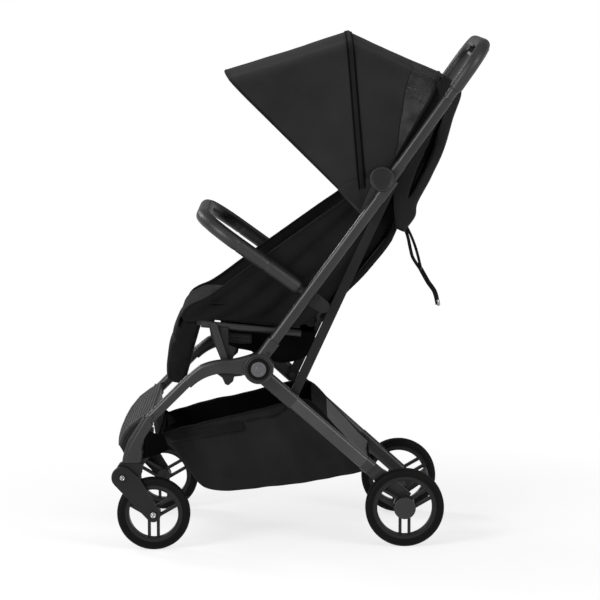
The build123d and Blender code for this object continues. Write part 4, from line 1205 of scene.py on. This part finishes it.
def makeBackCover():
    look = backLook
    lower, length = look["lower"]
    upper, half = look["upper"], look["half"]
    start, span, steps = look["lowerSpan"]
    line = []
    for k in range(steps + 1):
        s = start + span * k / steps
        share = min(max((s - look["bulgeFrom"]) / look["bulgeLength"], 0), 1)
        puff = look["bulge"] * max(0, math.sin(math.pi * share))
        line.append((along(look["hinge"], lower, s, -look["rear"] - puff), lower))
    bend = along(look["hinge"], lower, length)
    start, span, steps = look["upperSpan"]
    for k in range(steps + 1):
        line.append((along(bend, upper, start + span * k / steps, -look["rear"] - look["out"]), upper))
    rows = []
    for (x, z), angle in line:
        row = []
        for k in range(look["across"] + 1):
            y = -half + 2 * half * k / look["across"]
            fold = look["crease"] * noise.noise(Vector((x * 22, y * 14, z * 22)))
            spot = along((x, z), angle, 0, fold - look["edgeDrop"] * (abs(y) / half) ** 8 + look["out"])
            row.append(Vector((spot[0], y, spot[1])))
        tips = []
        for p in (row[0], row[-1]):
            tip = along((p.x, p.z), angle, 0, look["wrap"])
            tips.append(Vector((tip[0], p.y, tip[1])))
        rows.append([tips[0], *row, tips[1]])
    cover = clothPiece("backrestCover", rows, look["thick"])
    dress(cover, "backrest", "canvas", canvas)


makeBackCover()

# cloth sling under the seat board
slingLook = {
    "half": 0.128, "rail": (-0.197, 0.447, 0.0963), "corner": 0.006, "floorDrop": 0.002, "thick": 0.0018,
    "creases": ((0.0015, 20), (0.002, 18)),
    "line": [
        (-0.15, 0.44), (-0.144, 0.4004), (-0.128, 0.3932), (-0.0939, 0.3859), (-0.0561, 0.3677),
        (-0.0273, 0.3641), (0.0122, 0.3768), (0.026, 0.4), (0.0302, 0.4235),
    ],
}


def makeSling():
    half, corner, drop = slingLook["half"], slingLook["corner"], slingLook["floorDrop"]
    startX, startZ, slope = slingLook["rail"]
    (deepX, pitchX), (deepY, pitchY) = slingLook["creases"]
    rows = []
    for p in sideLine(slingLook["line"], 6, 44):
        top = max(startZ - slope * (p.x - startX), p.z + 0.001)
        foot = p.z + corner
        left = [(-half, top + (foot - top) * k / 6 if top > foot else top - 0.0002 * k) for k in range(6)]
        left += [(-half + corner + (half - corner) * k / 9, p.z - drop * k / 9) for k in range(10)]
        row = []
        for y, z in left + [(-y, z) for y, z in reversed(left[:-1])]:
            x = p.x + deepX * noise.noise(Vector((y * pitchX, z * pitchX, 1)))
            row.append(Vector((x, y + deepY * noise.noise(Vector((p.x * pitchY, z * pitchY, y))), z)))
        rows.append(row)
    sling = clothPiece("seatSling", rows, slingLook["thick"])
    dress(sling, "frame", "canvas", liningAndShade)


makeSling()
print("seat cloth hung")

# moulded covers, latches and webs on the side frames
coverLook = {
    "y": 0.216, "depth": 0.0124, "bend": (-0.146, 0.256, 0.11), "sweep": 45, "rise": (0.0004, 0.0058),
    "tall": 0.0107, "wide": (0.0092, 0.0032), "bootDepth": 0.0128, "cheekY": (0.1985, 0.2036),
    "tongue": 0.048, "tongueTop": (0.3829, 0.0105), "tongueLow": (0.3548, -0.006), "tongueEase": 1.6,
    "plates": {"latch": (0.206, 0.2145), "web": (0.187, 0.1985), "block": (0.152, 0.164)},  # near and far y
    "latch": [
        (-0.1707, 0.357), (-0.1548, 0.3457), (-0.1486, 0.3323), (-0.1424, 0.3301), (-0.1326, 0.3385),
        (-0.1308, 0.3475), (-0.1139, 0.3493), (-0.1139, 0.357),
    ],
    "web": [
        (-0.1804, 0.4446), (-0.1423, 0.4446), (-0.1424, 0.4097), (-0.1264, 0.4026), (-0.1336, 0.381),
        (-0.1576, 0.3793), (-0.1699, 0.4097), (-0.1778, 0.4294),
    ],
    "block": [(-0.1434, 0.4296), (-0.0969, 0.426), (-0.0969, 0.4075), (-0.12, 0.4075), (-0.1434, 0.4098)],
    "cheek": [
        (-0.31, 0.262), (-0.341, 0.2455), (-0.3545, 0.2285), (-0.3615, 0.209), (-0.354, 0.196), (-0.347, 0.18),
        (-0.332, 0.178), (-0.318, 0.21), (-0.304, 0.25),
    ],
    "boot": [  # height, front, rear
        (0.271, -0.3045, -0.289), (0.262, -0.311, -0.2935), (0.25, -0.3185, -0.3005), (0.238, -0.326, -0.3045),
        (0.225, -0.3345, -0.309), (0.2127, -0.342, -0.3135), (0.2, -0.349, -0.3155), (0.188, -0.3525, -0.3165),
        (0.1765, -0.3545, -0.3165),
    ],
    "blockRib": [(-0.141, 0.4262), (-0.12, 0.4247), (-0.099, 0.423)], "blockRibStep": 0.0065,
    "webRib": [(-0.172, 0.436, 0.011), (-0.162, 0.41, 0.009), (-0.154, 0.386, 0.0075)],  # x, z, step
    "ribRadius": {"block": 0.0012, "web": 0.0013},
}


def softRing(middle, across, tall, depth):
    # a rounded box section in the side plane's direction "across", with depth along y
    ring = []
    for c, d in circle(36):
        y = math.copysign(abs(c) ** 0.55, c) * depth
        ring.append(middle + Vector((0, y, 0)) + across * (math.copysign(abs(d) ** 0.6, d) * tall))
    return ring


def makeLegCover(side):
    look = coverLook
    y = side * look["y"]
    centreX, centreZ, radius = look["bend"]
    (riseFrom, riseBy), (wideFrom, wideBy) = look["rise"], look["wide"]
    rows = []
    for k in range(31):
        turn = math.radians(look["sweep"] - look["sweep"] * k / 30)
        out = Vector((-math.sin(turn), 0, math.cos(turn)))
        rise = riseFrom + riseBy * min(1, k / 14) ** 1.5
        middle = Vector((centreX, y, centreZ)) + out * (radius + rise / 2)
        rows.append(softRing(middle, out, look["tall"] + rise / 2, wideFrom + wideBy * min(1, k / 22)))
    for k in range(1, 13):
        share = (k / 12) ** look["tongueEase"]
        high, low = (z + grow * share for z, grow in (look["tongueTop"], look["tongueLow"]))
        middle = Vector((centreX + look["tongue"] * k / 12, y, (high + low) / 2))
        rows.append(softRing(middle, Vector((0, 0, 1)), (high - low) / 2, look["depth"]))
    cover = gridPiece(f"legCover.{side + 1}", rows, wrap=True)
    slices = []
    for z, front, rear in evenLine(smoothLine([Vector(mark) for mark in look["boot"]], 6), 34):
        middle = Vector(((front + rear) / 2, y, z))
        slices.append(softRing(middle, Vector((1, 0, 0)), (rear - front) / 2, look["bootDepth"]))
    boot = gridPiece(f"bootCover.{side + 1}", slices, wrap=True)
    dress(boot, "frame", "hub_plastic", bootFinish)
    near, far = look["cheekY"]
    cheek = platePiece(f"footrestCheek.{side + 1}", look["cheek"], side * near, side * far)
    dress(cheek, "frame", "hub_plastic", mould)
    dress(cover, "frame", "hub_plastic", paint)
    for name, (near, far) in look["plates"].items():
        piece = platePiece(f"leg{name.capitalize()}.{side + 1}", look[name], side * near, side * far)
        dress(piece, "frame", "hub_plastic", mould)
    for k in range(3):
        face = side * look["plates"]["block"][1]
        line = evenLine([Vector((x, face, z - look["blockRibStep"] * k)) for x, z in look["blockRib"]], 12)
        rib = tubePiece(f"blockRib.{side + 1}.{k}", line, look["ribRadius"]["block"])
        dress(rib, "frame", "hub_plastic", mould)
    for k in range(3):
        face = side * look["plates"]["web"][1]
        line = smoothLine([Vector((x + step * k, face, z)) for x, z, step in look["webRib"]], 8)
        rib = tubePiece(f"webRib.{side + 1}.{k}", evenLine(line, 16), look["ribRadius"]["web"])
        dress(rib, "frame", "hub_plastic", mould)


for side in bothSides:
    makeLegCover(side)
print("covers fitted")

# fine ridges across the footrest
footLook = {
    "line": [(-0.296, 0.277), (-0.32, 0.263), (-0.341, 0.247), (-0.355, 0.229), (-0.362, 0.208)],
    "bulge": 0.008, "half": 0.2037, "ridges": 15, "from": 0.3, "to": 3.75, "bow": 0.12, "span": 0.94,
    "steps": 40, "radius": 0.0011, "tip": 0.0004,
}


def footSpot(place, share):
    # a point of the footrest's top face, by its place along the section and its share of the half width
    marks = footLook["line"]
    i = min(int(place), len(marks) - 2)
    t = place - i
    x = marks[i][0] + (marks[i + 1][0] - marks[i][0]) * t
    z = marks[i][1] + (marks[i + 1][1] - marks[i][1]) * t
    x -= footLook["bulge"] * (1 - share ** 2) * place / (len(marks) - 1)
    return Vector((x, share * footLook["half"], z))


def makeTread():
    look = footLook
    steps, span = look["steps"], look["span"]
    radii = [look["tip"]] + [look["radius"]] * (steps - 1) + [look["tip"]]
    shares = [-span + 2 * span * i / steps for i in range(steps + 1)]
    for k in range(look["ridges"]):
        place = look["from"] + (look["to"] - look["from"]) * k / (look["ridges"] - 1)
        line = [footSpot(place - look["bow"] * (1 - s ** 2), s) for s in shares]
        dress(tubePiece(f"footrestRidge.{k}", line, radii), "frame", "footrest_plastic", treadGrey)


makeTread()
print("footrest ribbed")

# wheel trim, hub faces, screws
trimLook = {
    "wheels": {  # centre in the side view, y, radius
        "front": ((-0.292, 0.073), 0.214, 0.073), "rear": ((0.21, 0.079), 0.183, 0.079),
    },
    "wheelRings": {  # shift along y, inset from the edge, thickness, steps round and across
        "TyreBead": (0.0122, 0.0135, 0.0011, (72, 8)), "RimLip": (0.0101, 0.0225, 0.0012, (72, 8)),
        "Tread": (0.005, 0.0006, 0.0007, (90, 6)),
    },
    "hub": (-0.082, 0.365), "hubFace": 0.2365, "hubRingIn": 0.0048,
    "hubRings": ((0.0275, 0.0016), (0.0226, 0.0011)),
    "badge": [
        (0.0002, 0.0016), (0.006, 0.0016), (0.0068, 0.0008), (0.0082, 0.0008), (0.009, 0.0016), (0.0132, 0.0014),
        (0.0148, 0.0006), (0.0152, -0.0004),
    ],
    "jointFace": 0.2296, "jointRingFace": 0.2308, "jointRing": (0.0222, 0.0011),
    "face": [
        (0.0002, 0.0002), (0.017, 0.0002), (0.0185, 0.0006), (0.0205, 0.0016), (0.0225, 0.0018),
        (0.0242, 0.001), (0.0248, -0.0008),
    ],
    "screws": [
        ((0.0395, 0.4915), 0.2005, 0.0042), ((-0.0625, 0.3965), 0.2275, 0.0036),
        ((-0.1595, 0.4385), 0.1985, 0.003),
    ],
    "forkScrews": [((-0.353, 0.148), 0.0052), ((-0.292, 0.073), 0.0058)], "forkScrewOut": 0.0003,
    "screwEye": 0.0002,
    "screw": [  # share of the radius, height
        (0.35, 0.0004), (0.45, -0.0002), (0.62, -0.0002), (0.7, 0.0012), (0.92, 0.0011), (1.0, 0.0002),
        (1.02, -0.0008),
    ],
}


def wheelRing(wheel, kind, side, face, mark, slot, finish):
    (x, z), y, radius = trimLook["wheels"][wheel]
    shift, inset, thick, steps = trimLook["wheelRings"][kind]
    name, spot = bothSides[side], (x, side * y + face * shift, z)
    ring = ringPiece(f"{wheel}{kind}.{name}.{mark}", spot, sideways, radius - inset, thick, *steps)
    dress(ring, f"{wheel}_wheel_{name}", slot, finish)


def screwPiece(name, spot, size, side):
    rim = [(share * size, height) for share, height in trimLook["screw"]]
    return lathePiece(name, spot, [(trimLook["screwEye"], rim[0][1])] + rim, side, 28)


def makeTrim(side, name):
    look = trimLook
    for wheel in look["wheels"]:
        for face in bothSides:
            wheelRing(wheel, "TyreBead", side, face, face + 1, "tyre_rubber", tyreFinish)
            wheelRing(wheel, "RimLip", side, face, face + 1, "rim_plastic", rimFinish)
        for face in bothSides:
            wheelRing(wheel, "Tread", side, face, face * 5, "tyre_rubber", tyreFinish)
    hubX, hubZ = look["hub"]
    hubY = side * look["hubFace"]
    badge = lathePiece(f"hubBadge.{name}", (hubX, hubY, hubZ), look["badge"], side)
    dress(badge, "frame", "cap_plastic", capFinish)
    for radius, thick in look["hubRings"]:
        spot = (hubX, hubY - side * look["hubRingIn"], hubZ)
        ring = ringPiece(f"hubRing.{name}.{int(radius * 10000)}", spot, sideways, radius, thick, 64)
        dress(ring, "frame", "hub_plastic", paint)
    for k, ((x, z), y, size) in enumerate(look["screws"]):
        screw = screwPiece(f"screw.{name}.{k}", (x, side * y, z), size, side)
        dress(screw, "frame", "hub_plastic", steel if k == 0 else mould)
    joint = hingeAt["handle_fold"]
    face = lathePiece(f"jointFace.{name}", (joint.x, side * look["jointFace"], joint.z), look["face"], side)
    dress(face, "frame", "hub_plastic", mould)
    spot = (joint.x, side * look["jointRingFace"], joint.z)
    rim = ringPiece(f"jointRing.{name}", spot, sideways, *look["jointRing"], 64)
    dress(rim, "frame", "hub_plastic", bootFinish)
    forkY = max(abs(corner[1]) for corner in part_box(f"front_fork_{name}")) + look["forkScrewOut"]
    for k, ((x, z), size) in enumerate(look["forkScrews"]):
        bolt = screwPiece(f"forkScrew.{name}.{k}", (x, side * forkY, z), size, side)
        dress(bolt, f"fork_{name}", "hub_plastic", steel)


for side, name in bothSides.items():
    makeTrim(side, name)
print("trim fitted")

# floor, white surround and soft lamps
studioLook = {
    "floor": 0.95, "reach": 30.0, "fadeFrom": 0.5, "fadeTo": 1.1, "glow": 0.7, "room": 0.38, "aim": (0, 0, 0.5),
    "lamps": [  # place, size, power
        ("keyLamp", (-2.5, -2.8, 1.9), 1.5, 110), ("fillLamp", (2.9, -2.5, 1.9), 1.8, 75),
        ("topLamp", (0.2, -0.9, 3.4), 2.6, 12), ("edgeLamp", (-2.2, 1.6, 2.2), 0.8, 34),
    ],
}


def raysOf(tree, first, second):
    # 1 for rays of the two kinds, 0 for the others
    path = addNode(tree, "LightPath", {})
    return addMath(tree, "MAXIMUM", path.outputs[first], path.outputs[second])


def makeFloor():
    look = studioLook
    r = look["reach"]
    corners = [(-r, -r, 0), (r, -r, 0), (r, r, 0), (-r, r, 0)]
    floor = newPiece("studioFloor", corners, [(0, 1, 2, 3)], smooth=False)
    mat = bpy.data.materials.new("paleFloor")
    mat.use_nodes = True
    tree = mat.node_tree
    tree.nodes.clear()
    matt = addNode(tree, "BsdfDiffuse", {"Color": (look["floor"],) * 3 + (1,)})
    glow = addNode(tree, "Emission", {"Color": (1, 1, 1, 1)})
    gap = addNode(tree, "VectorMath", {0: addNode(tree, "TexCoord", {}).outputs["Object"]})
    gap.operation = "LENGTH"
    span = addNode(tree, "MapRange", {
        "Value": gap.outputs["Value"], "From Min": look["fadeFrom"], "From Max": look["fadeTo"],
        "To Min": look["glow"],
    })
    seen = raysOf(tree, "Is Camera Ray", "Is Glossy Ray")
    share = addMath(tree, "MULTIPLY", span.outputs["Result"], seen)
    mix = addNode(tree, "MixShader", {"Fac": share, 1: matt.outputs["BSDF"], 2: glow.outputs["Emission"]})
    addNode(tree, "OutputMaterial", {"Surface": mix.outputs["Shader"]})
    floor.data.materials.append(mat)


def makeRoom():
    world = bpy.data.worlds.new("whiteRoom")
    world.use_nodes = True
    scene.world = world
    tree = world.node_tree
    seen = raysOf(tree, "Is Camera Ray", "Is Transmission Ray")
    span = addNode(tree, "MapRange", {"Value": seen, "To Min": studioLook["room"], "To Max": 1.0})
    setSockets(tree, tree.nodes["Background"], {"Color": (1, 1, 1, 1), "Strength": span.outputs["Result"]})


def placeLamps():
    for name, spot, size, power in studioLook["lamps"]:
        data = bpy.data.lights.new(name, "AREA")
        data.size = size
        data.energy = power
        lamp = linked(name, data)
        lamp.location = spot
        aim = Vector(studioLook["aim"]) - Vector(spot)
        lamp.rotation_euler = aim.to_track_quat("-Z", "Y").to_euler()


makeFloor()
makeRoom()
placeLamps()
scene.view_settings.view_transform = "Standard"
print("studio lit")

bpy.context.view_layer.update()
